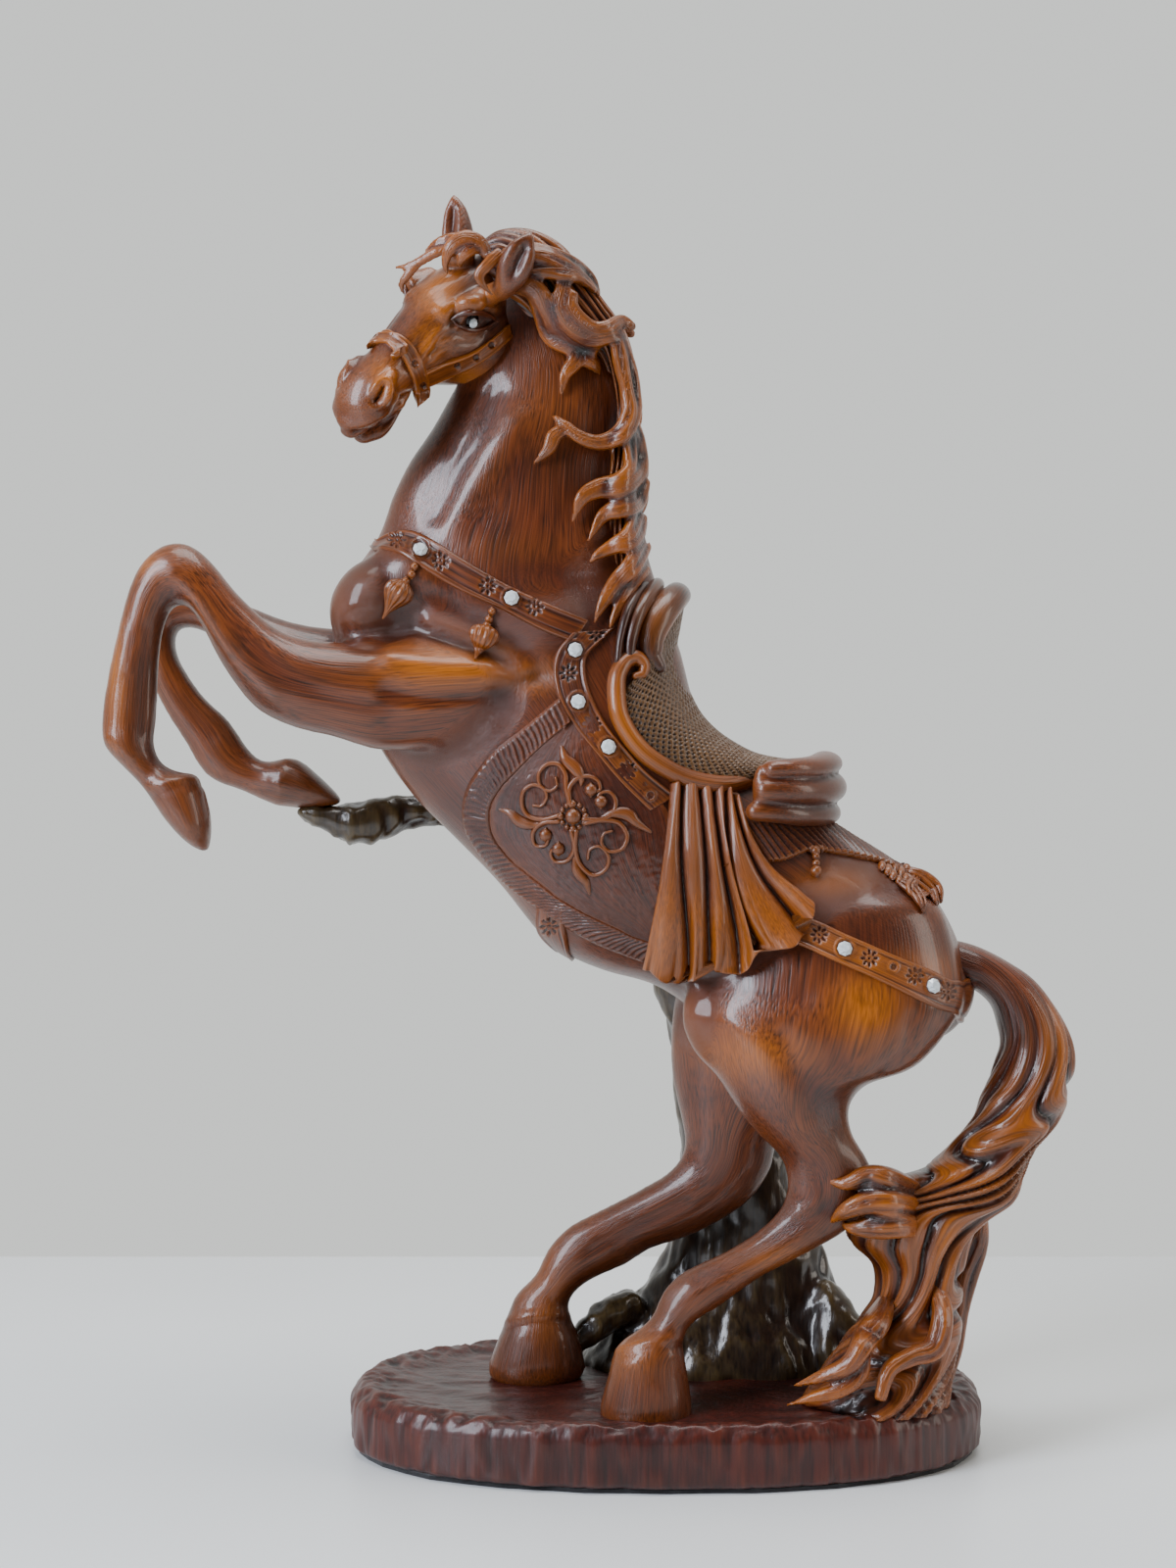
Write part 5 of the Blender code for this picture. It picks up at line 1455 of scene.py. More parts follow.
class Carrier:
    """What the tack lies on: the body's near and far sides, charted, and the body to snap to."""

    def __init__(self, body: Skin) -> None:
        """Chart both sides of the body."""
        self.near = DepthChart(body)
        self.far = DepthChart(body.mirrored())
        self.body = raw_object("carrier", body)

    def lifted(self, places: Array, side: Side) -> Array:
        """Points on one side of the body at rows of across and down; the far side is mirrored back."""
        if side is Side.FAR:
            return other_side(self.far.lifted(places[..., 0], places[..., 1]))
        return self.near.lifted(places[..., 0], places[..., 1])

    def both(self, made: Callable[[DepthChart], list[Skin]]) -> list[Skin]:
        """Forms made on the near chart, then those made on the far chart and mirrored back."""
        return made(self.near) + [part.mirrored() for part in made(self.far)]

    def snapped(self, points: Array) -> Array:
        """The body's nearest surface point for each point."""
        flat = points.reshape(-1, 3)
        probe = raw_object("probe", Skin(flat, np.zeros((0, 4), int)))
        wrap = probe.modifiers.new("wrap", "SHRINKWRAP")
        wrap.target = self.body
        bpy.context.view_layer.update()
        evaluated = probe.evaluated_get(bpy.context.evaluated_depsgraph_get())
        found = np.empty(len(flat) * 3)
        evaluated.to_mesh().vertices.foreach_get("co", found)
        evaluated.to_mesh_clear()
        bpy.data.objects.remove(probe)
        return found.reshape(points.shape)

    def closed(self) -> None:
        """Drop the body's copy once the tack is laid."""
        bpy.data.objects.remove(self.body)


def evened_grid(grid: Array, passes: int) -> Array:
    """A grid of points evened along its rows and columns, its edges kept."""
    grid = grid.copy()
    for _ in range(passes):
        grid[1:-1] += 0.5 * ((grid[:-2] + grid[2:]) / 2 - grid[1:-1])
        grid[:, 1:-1] += 0.5 * ((grid[:, :-2] + grid[:, 2:]) / 2 - grid[:, 1:-1])
    return grid


def grid_normals(grid: Array, side: Side) -> Array:
    """Outward directions square to a grid that lies on a side or goes round the body."""
    square = unit(np.cross(np.gradient(grid, axis=0), np.gradient(grid, axis=1)))
    away = np.array([0.0, side.value, 0.0]) if side.value else grid - grid.reshape(-1, 3).mean(0)
    return square if np.sum(square * away) > 0 else -square


def folded(points: Array) -> tuple[Array, Array]:
    """Where the sheet shows points, those of the far side as their mirror places."""
    across, down, _ = SHEET.drawn(near_side(points))
    return across, down


def spot_at(across: Array, down: Array, centre: tuple[float, float],
            reach: tuple[float, float]) -> Array:
    """A bell over a sheet place: one at its centre, fading over a reach across and down."""
    return np.exp(-(((across - centre[0]) / reach[0]) ** 2) - ((down - centre[1]) / reach[1]) ** 2)


def bell(values: Array, middle: float, reach: float) -> Array:
    """One where values meet the middle, falling off as a bell over the reach."""
    return np.exp(-(((values - middle) / reach) ** 2))


def laid(chart: DepthChart, rows: Array, lift_mm: float, sides: int,
         flutes: tuple[float, float] = (0, 0)) -> Skin:
    """A strand laid on a charted side.

    Args:
        chart: the depth chart of what carries it.
        rows: across, down, half width and half thickness.
        lift_mm: how far its middle stands off.
        sides: points round it.
        flutes: how many flutes it has and how deep they are.

    Returns:
        The strand.
    """
    depth = np.minimum(chart.depth(rows[:, 0], rows[:, 1]), MIDDLE) - lift_mm
    return path_tube(np.column_stack([rows[:, :2], depth, rows[:, 2:]]), 1, sides, flutes)


def bead(chart: DepthChart, row: tuple[float, ...], lift_mm: float, sides: int = 12, steps: int = 9,
         end: float = 0.96, flat: float = 1.0) -> Skin:
    """A ball laid on a charted side.

    Args:
        chart: the depth chart of what carries it.
        row: across, down and radius.
        lift_mm: how far its middle stands off.
        sides: points round it.
        steps: rings along it.
        end: share of its radius where its last ring lies.
        flat: its thickness as a share of its width.

    Returns:
        The ball.
    """
    way = np.linspace(-end, end, steps)
    size = row[2] * np.sqrt(1 - way**2)
    down = row[1] + way * row[2] * SHEET.units
    return laid(chart, np.column_stack([np.full(steps, row[0]), down, size, size * flat]), lift_mm, sides)


def slab(grid: Array, height: Array, side: Side, sink_mm: float = 1.6,
         grain: Array | None = None) -> Skin:
    """A closed slab over a grid: its top stands off by a height, its edges are sunk under it.

    Args:
        grid: rows and columns of points on what carries the slab.
        height: heights of the top in millimetres, on the same grid.
        side: where the grid lies.
        sink_mm: how far its foot lies under the grid.
        grain: brushing coordinates, or None to brush it along its rows.

    Returns:
        The slab.
    """
    normals = grid_normals(grid, side)
    top = grid + normals * (height * MM)[..., None]
    under = grid - normals * (sink_mm * MM)
    rows, columns = height.shape
    foot = np.stack([under[:, -1], under[:, columns // 2], under[:, 0]], 1)
    rings = np.concatenate([top, foot], 1)
    poles = np.stack([under[0].mean(0), under[-1].mean(0)])
    if grain is None:
        along, across = run_length(grid[:, columns // 2]), run_length(grid[rows // 2])
        grain = np.stack([*np.meshgrid(along, across, indexing="ij"), height], -1)
    grain = np.concatenate([grain, grain[:, [-1, columns // 2, 0]]], 1)
    skin = ringed(rings, poles, grain, grain[[0, -1], 0])
    middle = rings[rows // 2]
    spin = np.cross(middle - middle.mean(0), np.roll(middle, -1, 0) - middle.mean(0)).sum(0)
    if np.dot(spin, rings[-1].mean(0) - rings[0].mean(0)) < 0:
        skin.quads, skin.tris = skin.quads[:, ::-1], skin.tris[:, ::-1]
    return skin


def edge_grid(edges: Rows | Array, rows: int, columns: int) -> Array:
    """Sheet places between two edges: each row of edges gives across and down of both."""
    fine = through(edges, 12)
    fine = resampled(fine, travel(fine), rows)
    share = np.linspace(0, 1, columns)[None, :, None]
    return fine[:, None, :2] * (1 - share) + fine[:, None, 2:] * share


def flower(across: Array, down: Array, centre: tuple[float, float], size_mm: float = 1.0,
           petals: int = 8) -> Array:
    """How deep an engraved flower goes at places: drop-shaped holes round a hole in the middle.

    Args:
        across: places across the sheet.
        down: places down the sheet.
        centre: the flower's middle on the sheet.
        size_mm: scale of the flower.
        petals: how many petals.

    Returns:
        One in a hole and zero outside it.
    """
    x = (across - centre[0]) / SHEET.units / size_mm
    y = (down - centre[1]) / SHEET.units / size_mm
    radius, turn = np.hypot(x, y), np.arctan2(y, x)
    step = 2 * math.pi / petals
    off = (turn / step - np.round(turn / step)) * step
    petal = np.hypot((radius * np.cos(off) - 1.85) / 0.95, radius * np.sin(off) / 0.46)
    return 1 - smooth_step(np.minimum(petal, radius / 0.5), 0.75, 1.25)


def ring_at(across: Array, down: Array, centre: tuple[float, float], radius_mm: float,
            half_mm: float) -> Array:
    """One on a ring round a sheet place, falling to zero beside it."""
    gap = np.hypot(across - centre[0], down - centre[1]) / SHEET.units
    return bell(gap, radius_mm, half_mm)


@dataclass
class Strap:
    """A strap with raised rims, engraved flowers, seats for crystals and small rings.

    edges give the upper and the lower edge on the sheet. A wrap is one more such row, in the
    horse's middle plane, over which the strap goes on to the other side.
    """

    name: str
    edges: Rows
    wrap: tuple[float, float, float, float] | None = None
    flowers: list[tuple[float, float]] = field(default_factory=list)
    seats: list[tuple[float, float]] = field(default_factory=list)
    rings: list[tuple[float, float]] = field(default_factory=list)
    thickness_mm: float = 0.95
    pitch_mm: float = 0.37

    def height(self, grid: Array) -> Array:
        """The strap's face: a flat with two rims, less flowers, rings and seats."""
        share = np.linspace(0, 1, grid.shape[1])[None]
        width = np.linalg.norm(grid[:, 0] - grid[:, -1], axis=1).mean() / MM
        edge = np.minimum(share, 1 - share) * width
        far_edge = np.maximum(share, 1 - share) * width
        rim = bell(edge, 0.75, 0.42) + bell(far_edge, 0.75, 0.42)
        groove = bell(edge, 1.7, 0.3) + bell(far_edge, 1.7, 0.3)
        height = self.thickness_mm * smooth_step(edge, -0.4, 0.5) + 0.3 * rim - 0.22 * groove
        height = np.broadcast_to(height, grid.shape[:2]).copy()
        across, down = folded(grid)
        for centre in self.flowers:
            height -= 0.75 * flower(across, down, centre)
        for centre in self.seats:
            gap = np.hypot(across - centre[0], down - centre[1]) / SHEET.units
            height -= 0.55 * (1 - smooth_step(gap, 2.2, 2.6))
            height += 0.25 * bell(gap, 2.95, 0.35)
        for centre in self.rings:
            height += 0.3 * ring_at(across, down, centre, 1.5, 0.35)
            height -= 0.25 * ring_at(across, down, centre, 0.7, 0.5)
        return height

    def skins(self, carrier: Carrier) -> list[Skin]:
        """The strap on both sides, in one length where it wraps round."""
        fine = through(self.edges, 4)
        width = np.linalg.norm(fine[:, :2] - fine[:, 2:], axis=1).mean() / SHEET.units
        columns = max(8, int(width / self.pitch_mm))
        if self.wrap is None:
            made = []
            length = np.linalg.norm(np.diff(fine[:, :2], axis=0), axis=1).sum() / SHEET.units
            places = edge_grid(self.edges, int(length / self.pitch_mm), columns)
            for side in (Side.NEAR, Side.FAR):
                grid = evened_grid(carrier.snapped(carrier.lifted(places, side)), 6)
                made.append(slab(grid, self.height(grid), side))
            return made
        near, far = ([carrier.lifted(fine[:, at:at + 2], side) for at in (0, 2)]
                     for side in (Side.NEAR, Side.FAR))
        middle = [SHEET.seen(self.wrap[at], self.wrap[at + 1], MIDDLE)[None] for at in (0, 2)]
        order = 1 if self.wrap_first() else -1
        path = [np.concatenate([n[::-order], m, f[::order]]) for n, m, f in zip(near, middle, far)]
        path = np.stack(path, 1)
        run = run_length(path.mean(1))
        flat = resampled(path.reshape(len(path), 6), run, int(run[-1] / self.pitch_mm))
        share = np.linspace(0, 1, columns)[None, :, None]
        grid = flat[:, None, :3] * (1 - share) + flat[:, None, 3:] * share
        for _ in range(3):
            grid = evened_grid(carrier.snapped(grid), 12)
        return [slab(grid, self.height(grid), Side.ROUND)]

    def wrap_first(self) -> bool:
        """Whether the wrap lies beyond the first row of the edges rather than beyond the last."""
        start, end = self.edges[0], self.edges[-1]
        return math.dist(self.wrap[:2], start[:2]) < math.dist(self.wrap[:2], end[:2])


@dataclass
class Straps:
    """All straps on the body: breast, shoulder, crupper and girth."""

    parts: list[Strap] = table(
        Strap("breast", [(385, 551, 379, 561), (400, 543, 399, 562), (418, 541, 412, 568),
                         (440, 550, 430, 580), (480, 575, 470, 603), (520, 598, 512, 622),
                         (560, 616, 550, 642), (600, 633, 585, 656)],
              wrap=(383, 549, 382, 560), thickness_mm=0.7,
              flowers=[(406, 552), (450, 573), (498, 598), (546, 619)],
              seats=[(429, 560), (522, 610)]),
        Strap("shoulder", [(627, 642, 583, 646), (612, 656, 570, 662), (600, 668, 565, 678),
                           (597, 682, 566, 698), (602, 706, 571, 716), (618, 738, 585, 740),
                           (640, 766, 607, 768), (662, 790, 632, 798), (690, 812, 662, 828)],
              flowers=[(608, 646), (580, 687), (604, 739), (640, 786)],
              seats=[(587, 663), (590, 716), (621, 762)], rings=[(663, 812)]),
        Strap("crupper", [(816, 934, 804, 960), (835, 940, 822, 967), (860, 952, 850, 980),
                          (890, 965, 880, 993), (920, 978, 910, 1007), (950, 990, 940, 1022),
                          (970, 1001, 960, 1031)],
              wrap=(976, 1004, 966, 1032), thickness_mm=0.6,
              flowers=[(836, 954), (887, 978), (933, 996), (966, 1012)],
              seats=[(862, 968), (953, 1006)], rings=[(911, 987)]),
        Strap("girth", [(577, 920, 548, 926), (576, 940, 548, 946), (580, 960, 556, 968)],
              wrap=(586, 984, 568, 972), flowers=[(562, 944)]))

    def built(self, carrier: Carrier, material: Material) -> Piece:
        """The finished straps."""
        skin = Skin.joined([part for strap in self.parts for part in strap.skins(carrier)])
        skin.stained_and_shaded(0.2, 8)
        skin.relief = np.clip(skin.relief, -0.9, 0.35)
        skin.glow = np.full(len(skin.points), 0.04)
        across, down = folded(skin.points)
        skin.glow += 0.5 * spot_at(across, down, (880, 975), (90, 60))
        skin.glow += 0.25 * spot_at(across, down, (640, 770), (50, 50))
        return dressed("straps", skin, material)


@dataclass
class Blanket:
    """The saddle blanket: a stippled ground in a wavy fringe, with a scrolled ornament on it."""

    fringe: Rows = table(
        (570, 712, 583, 738), (555, 725, 565, 752), (535, 742, 545, 770), (515, 757, 525, 790),
        (500, 770, 515, 800), (488, 785, 508, 810), (478, 800, 503, 818), (472, 822, 500, 830),
        (474, 846, 502, 848), (484, 864, 510, 862), (497, 882, 524, 878), (512, 899, 546, 896),
        (532, 915, 572, 916), (556, 932, 600, 932), (585, 951, 630, 946), (615, 966, 648, 955),
        (655, 981, 672, 962))
    ground: Rows = table(
        (583, 738, 600, 716), (565, 752, 606, 730), (545, 770, 616, 746), (525, 790, 630, 764),
        (515, 800, 642, 780), (508, 810, 656, 796), (503, 818, 668, 812), (500, 830, 680, 826),
        (502, 848, 686, 846), (510, 862, 688, 864), (524, 878, 690, 880), (546, 896, 690, 896),
        (572, 916, 690, 910), (600, 932, 690, 924), (630, 946, 690, 938), (648, 955, 688, 950),
        (672, 962, 684, 960))
    scrolls: list[Rows] = table(
        [(583, 822), (578, 805), (577, 790), (570, 780), (558, 780), (550, 789), (551, 801), (560, 807),
            (568, 802), (567, 794)],
        [(570, 832), (555, 836), (540, 833), (533, 822), (534, 808), (543, 801), (554, 804), (558, 813),
            (553, 822), (545, 822)],
        [(581, 820), (581, 804), (588, 795), (600, 792), (610, 797), (612, 806), (604, 808)],
        [(596, 836), (614, 836), (626, 829), (628, 816), (621, 808), (611, 811), (612, 820)],
        [(598, 840), (615, 837), (632, 840), (640, 853), (635, 866), (622, 869), (614, 861), (616, 851),
            (624, 848)],
        [(588, 848), (587, 865), (592, 882), (605, 893), (618, 887), (621, 874), (612, 864), (602, 867),
            (600, 876)],
        [(570, 838), (553, 840), (544, 850), (546, 862), (556, 863), (561, 854)],
        [(583, 848), (586, 866), (579, 878), (567, 879), (562, 870), (569, 862)])
    leaves: list[Rows] = table(
        [(573, 762, 0.5), (577, 774, 1.6), (587, 784, 2.1), (593, 794, 1.2), (593, 801, 0.4)],
        [(613, 835, 0.5), (626, 830, 1.5), (640, 831, 2.1), (650, 840, 1.4), (664, 849, 0.4)],
        [(602, 912, 0.4), (598, 900, 1.3), (590, 890, 1.7), (587, 878, 1.0), (589, 868, 0.4)],
        [(510, 826, 0.4), (520, 829, 1.2), (531, 838, 1.9), (545, 842, 1.3), (562, 838, 0.5)])
    knobs: Rows = table(
        (603, 806, 2.0), (613, 818, 2.0), (557, 852, 2.0), (570, 866, 2.0))
    centre: tuple[float, float] = (585, 833)
    boss_reach: float = 12.6
    pitch_mm: float = 0.58
    ground_mm: float = 0.9

    def fringe_height(self, grid: Array) -> Array:
        """Wavy strands across the fringe: ridges along it whose phase drifts with a noise."""
        rows, columns = grid.shape[:2]
        run = run_length(grid[:, columns // 2])[:, None]
        share = np.linspace(0, 1, columns)[None]
        drift = value_noise(grid / MM, 5.0, 3) * 1.2 + value_noise(grid / MM, 2.2, 7) * 0.5
        wave = np.abs(np.cos(math.pi * run / 1.75 + drift + 1.3 * np.sin(share * 3.0)))
        ends = smooth_step(share, 0.0, 0.14) * (1 - smooth_step(share, 0.9, 0.97))
        return 0.25 + (0.25 + 0.85 * wave) * ends + 0.9 * bell(share, 0.965, 0.03)

    def ground_height(self, grid: Array) -> Array:
        """The ground: a flat, pricked all over by a fine noise."""
        grid = grid / MM
        return self.ground_mm + 0.13 * value_noise(grid, 0.85, 5) + 0.1 * value_noise(grid, 2.2, 9)

    def laid_grid(self, carrier: Carrier, edges: Rows, side: Side) -> Array:
        """A fine grid between two edges on one side of the body."""
        fine = through(edges, 4)
        length = np.linalg.norm(np.diff((fine[:, :2] + fine[:, 2:]) / 2, axis=0), axis=1).sum()
        width = np.linalg.norm(fine[:, :2] - fine[:, 2:], axis=1).max()
        rows, columns = (int(span / SHEET.units / self.pitch_mm) for span in (length, width))
        return evened_grid(carrier.lifted(edge_grid(edges, rows, columns), side), 4)

    def ornament(self, chart: DepthChart) -> list[Skin]:
        """Scrolls, leaves, knobs and the beaded boss, standing on one side's ground."""
        parts = []
        for scroll in self.scrolls:
            places = through(scroll, 7)
            share = np.linspace(0, 1, len(places))
            rows = np.column_stack([places, 0.85 - 0.3 * share, 0.95 - 0.2 * share])
            parts.append(laid(chart, rows, self.ground_mm + 0.25, 10))
        for leaf in self.leaves:
            rows = through(leaf, 6)
            rows = np.column_stack([rows, np.minimum(rows[:, 2] * 0.8, 1.3)])
            parts.append(laid(chart, rows, self.ground_mm + 0.1, 12))
        for row in self.knobs + [(*self.centre, 2.5)]:
            parts.append(bead(chart, row, self.ground_mm + 0.2, 14, 9, 0.97, 0.9))
        for number in range(12):
            turn = number * math.pi / 6
            across = self.centre[0] + self.boss_reach * math.cos(turn)
            down = self.centre[1] + self.boss_reach * math.sin(turn)
            size = 0.85 if number % 3 else 1.15
            parts.append(bead(chart, (across, down, size), self.ground_mm + 0.15, 10, 7, 0.95))
        return parts

    def built(self, carrier: Carrier, material: Material) -> Piece:
        """The finished blanket, on both sides."""
        slabs = []
        for side in (Side.NEAR, Side.FAR):
            for edges, height in ((self.fringe, self.fringe_height), (self.ground, self.ground_height)):
                grid = self.laid_grid(carrier, edges, side)
                slabs.append(slab(grid, height(grid), side))
        ground = Skin.joined(slabs)
        ground.stained_and_shaded(0.3, 8)
        ground.relief = np.clip(ground.relief * 0.8 - 0.12, -0.95, 0.25)
        skin = Skin.joined([ground] + carrier.both(self.ornament))
        return dressed("saddle_blanket", skin, material)


@dataclass
class Saddle:
    """The saddle: a latticed seat over the back, its scrolled rim, the pommel and the cantle."""

    # The seat's stations: the near rim, then the seat's outline over the back
    stations: Rows = table(
        (655, 668, 697, 612), (650, 690, 692, 640), (638, 708, 689, 660), (632, 728, 694, 682),
        (640, 750, 702, 706), (656, 769, 714, 729), (676, 785, 731, 747), (700, 797, 750, 760),
        (726, 803, 770, 770), (752, 803, 792, 775), (772, 792, 812, 777))
    rim: Rows = table(
        (648, 690, 1.2, 1.6), (655, 688, 1.7, 2.0), (657, 679, 2.0, 2.4), (649, 671, 2.3, 2.6),
        (638, 675, 2.5, 2.8), (630, 690, 2.7, 3.0), (629, 710, 2.8, 3.1), (632, 730, 2.8, 3.1),
        (642, 750, 2.8, 3.1), (657, 768, 2.8, 3.1), (676, 782, 2.8, 3.1), (698, 793, 2.8, 3.1),
        (722, 799, 2.8, 3.1), (745, 800, 2.8, 3.1), (764, 795, 2.7, 2.9), (774, 786, 2.3, 2.6),
        (771, 777, 1.8, 2.2), (761, 776, 1.4, 1.8), (755, 782, 1.0, 1.4))
    pommel: Rows = table(
        (672, 680, 0.0, 2.2, 2.4), (664, 668, 0.02, 3.6, 3.4), (664, 648, 0.25, 4.4, 4.0),
        (673, 629, 0.55, 4.6, 4.2), (686, 612, 0.86, 4.2, 3.8), (692, 606, 1.0, 4.0, 3.4))
    front_rolls: list[Rows] = table(
        [(642, 672, 0.0, 1.6, 2.2), (644, 650, 0.15, 2.0, 2.4), (652, 625, 0.5, 2.2, 2.6),
            (664, 606, 0.85, 2.3, 2.6), (670, 598, 1.0, 2.3, 2.6)],
        [(630, 676, 0.0, 1.1, 1.8), (633, 650, 0.15, 1.3, 2.0), (641, 622, 0.5, 1.5, 2.2),
            (652, 604, 0.85, 1.6, 2.2), (660, 597, 1.0, 1.6, 2.2)])
    # The cantle's rolls and their core: near end, furthest back, half thickness, half width
    cantle: Rows = table(
        (778, 786, 843, 778, 3.5, 5.0), (770, 807, 846, 803, 4.8, 5.4), (758, 828, 844, 829, 3.6, 4.2),
        (768, 806, 834, 803, 9.5, 3.6))
    cantle_half_mm: float = 26.5
    pitch_mm: float = 0.42
    hole_mm: float = 2.3

    def seat(self, carrier: Carrier) -> Skin:
        """The seat: quarter ellipses from the near rim over the back, mirrored to the far rim."""
        rows = through(self.stations, 12)
        run = travel(rows[:, 2:])
        rows = resampled(rows, run, int(run[-1] / SHEET.units / self.pitch_mm))
        turn = np.linspace(0, math.pi / 2, 84)[None]
        across = rows[:, :1] + (rows[:, 2:3] - rows[:, :1]) * np.sin(turn)
        down = rows[:, 1:2] + (rows[:, 3:4] - rows[:, 1:2]) * np.sin(turn)
        rim = carrier.near.depth(rows[:, 0], rows[:, 1])[:, None] - 0.4
        near = SHEET.seen(across, down, MIDDLE - (MIDDLE - rim) * np.cos(turn))
        grid = evened_grid(np.concatenate([near, other_side(near[:, ::-1])[:, 1:]], 1), 4)
        u = run_length(grid[:, 83])[:, None]
        v = run_length(grid[len(grid) // 2])[None]
        web = np.cos(2 * math.pi * u / self.hole_mm) * np.cos(2 * math.pi * v / self.hole_mm)
        height = 0.75 - 0.75 * smooth_step(web, 0.12, 0.55)
        return slab(grid, height, Side.ROUND, 2.4)

    def rims(self, chart: DepthChart) -> list[Skin]:
        """The scrolled rim on one side."""
        return [laid(chart, through(self.rim, 8), 1.2, 24)]

    def arch(self, rows: Rows, carrier: Carrier, lift_mm: float = 1.6) -> Skin:
        """A roll over the back: near places with their share of the way to the middle plane."""
        side = carrier.near.depth(*np.array(rows[0][:2])) - lift_mm
        rows = through(rows, 8)
        depth = MIDDLE + (side - MIDDLE) * np.sqrt(np.clip(1 - rows[:, 2] ** 2, 0, 1))
        near = SHEET.seen(rows[:, 0], rows[:, 1], depth)
        centres = np.concatenate([near, other_side(near[::-1][1:])])
        along = unit(np.gradient(centres, axis=0))
        size = np.concatenate([rows[:, 3:], rows[::-1][1:, 3:]]) * MM
        side_way = unit(np.cross(along, unit(np.cross((0.86, 0.0, -0.5), along))))
        out = np.cross(along, side_way)
        return tube(centres, side_way * size[:, :1], out * size[:, 1:], 28)

    def cantle_roll(self, row: tuple[float, ...]) -> Skin:
        """A horseshoe roll: half an ellipse from side to side round the seat's back."""
        near_x, near_y, back_x, back_y, thick, wide = row
        turn = np.linspace(-1, 1, 61) * 1.47
        rise = np.cos(turn) ** 0.85
        across = near_x + (back_x - near_x) * rise
        down = near_y + (back_y - near_y) * rise + 3.0 * np.sin(turn * 2) ** 2
        centres = SHEET.seen(across, down, MIDDLE + np.sin(turn) * self.cantle_half_mm)
        along = unit(np.gradient(centres, axis=0))
        up = unit(np.array([0.12, 0, 1.0]) - along * np.sum(along * (0.12, 0, 1.0), 1)[:, None])
        out = np.cross(up, along)
        taper = (0.75 + 0.25 * np.cos(turn))[:, None] * MM
        return tube(centres, out * wide * taper, up * thick * taper, 28)

    def built(self, carrier: Carrier, material: Material, seat_material: Material
              ) -> None:
        """The finished seat and, apart from it, rims and rolls."""
        seat = self.seat(carrier)
        seat.stained_and_shaded(0.2, 5)
        dressed("saddle_seat", seat, seat_material)
        parts = carrier.both(self.rims)
        parts += [self.arch(rows, carrier) for rows in [self.pommel] + self.front_rolls]
        cantle = fused([self.cantle_roll(row) for row in self.cantle], 0.55, 4)
        cantle.grain = cantle.grain_b = cantle.points[:, [0, 2, 1]] / MM
        cantle.stained_and_shaded(0.9, 40)
        cantle.relief = np.minimum(cantle.relief, 0.25)
        skin = Skin.joined(parts + [cantle])
        across, down = folded(skin.points)
        skin.relief *= 0.6
        skin.glow = np.maximum(0.15 + 0.85 * spot_at(across, down, (675, 630), (24, 40)),
                               0.45 * spot_at(across, down, (650, 740), (60, 70)))
        skin.glow *= 1 - 0.75 * smooth_step(across, 770, 800)
        dressed("saddle_rim", skin, material)


@dataclass
class Drape:
    """The gathered cloth under the saddle's rim, its folds fanning out to a waving hem."""

    top: Rows = table(
        (683, 800), (700, 801), (716, 804), (731, 806), (745, 811), (757, 828))
    foot: Rows = table(
        (658, 979), (668, 979), (681, 986), (694, 992), (706, 1001), (713, 988), (722, 978), (734, 978),
        (744, 991), (757, 996), (771, 990), (776, 974), (768, 962), (782, 963), (798, 974), (814, 971),
        (819, 958), (826, 948), (830, 936), (826, 922))
    folds: float = 6.0
    rows: int = 125
    columns: int = 170

    def height(self, down: Array, share: Array) -> Array:
        """Round folds with sharp valleys: the size of a half sine, deeper and split towards the hem."""
        phase = (self.folds * share + 0.16 * np.sin(9 * share + 3 * down)
                 + 0.08 * np.sin(17 * share - 5 * down))
        main = np.abs(np.sin(math.pi * phase)) ** 0.75
        split = np.abs(np.sin(math.pi * (2 * phase + 0.35 + 0.4 * np.sin(5 * share)))) ** 0.8
        grow = smooth_step(down, 0.5, 1.0)
        return 0.8 + (2.6 + 2.4 * grow) * main + 1.2 * grow * split

    def built(self, carrier: Carrier, material: Material) -> Piece:
        """The finished drape, on both sides."""
        head, foot = (resampled(rows, np.linspace(0, 1, len(rows)), self.columns)
                      for rows in (through(self.top, 12), through(self.foot, 12)))
        share = np.linspace(0, 1, self.columns)
        down = np.linspace(0, 1, self.rows)[:, None]
        places = head[None] * (1 - down[..., None]) + foot[None] * down[..., None]
        places[..., 0] += np.sin(math.pi * down) * (4 - 18 * share)
        height = self.height(down, share[None])
        skins = []
        for side in (Side.NEAR, Side.FAR):
            grid = evened_grid(carrier.lifted(places, side), 8)
            run = run_length(grid[:, 0])
            grain = np.stack([*np.meshgrid(run, 70 * share, indexing="ij"), height], -1)
            skins.append(slab(grid, height, side, 1.2, grain))
        skin = Skin.joined(skins)
        height = skin.grain[:, 2]
        skin.stained_and_shaded(0.5, 14)
        # Valleys between the folds are darkened as painted shade together with dark stain; fold tops go
        # gold
        skin.relief = np.clip(0.5 * skin.relief + (height - 2.4) / 1.8, -0.85, 0.9)
        skin.glow = np.full(len(skin.points), 0.16)
        return dressed("drape", skin, material)


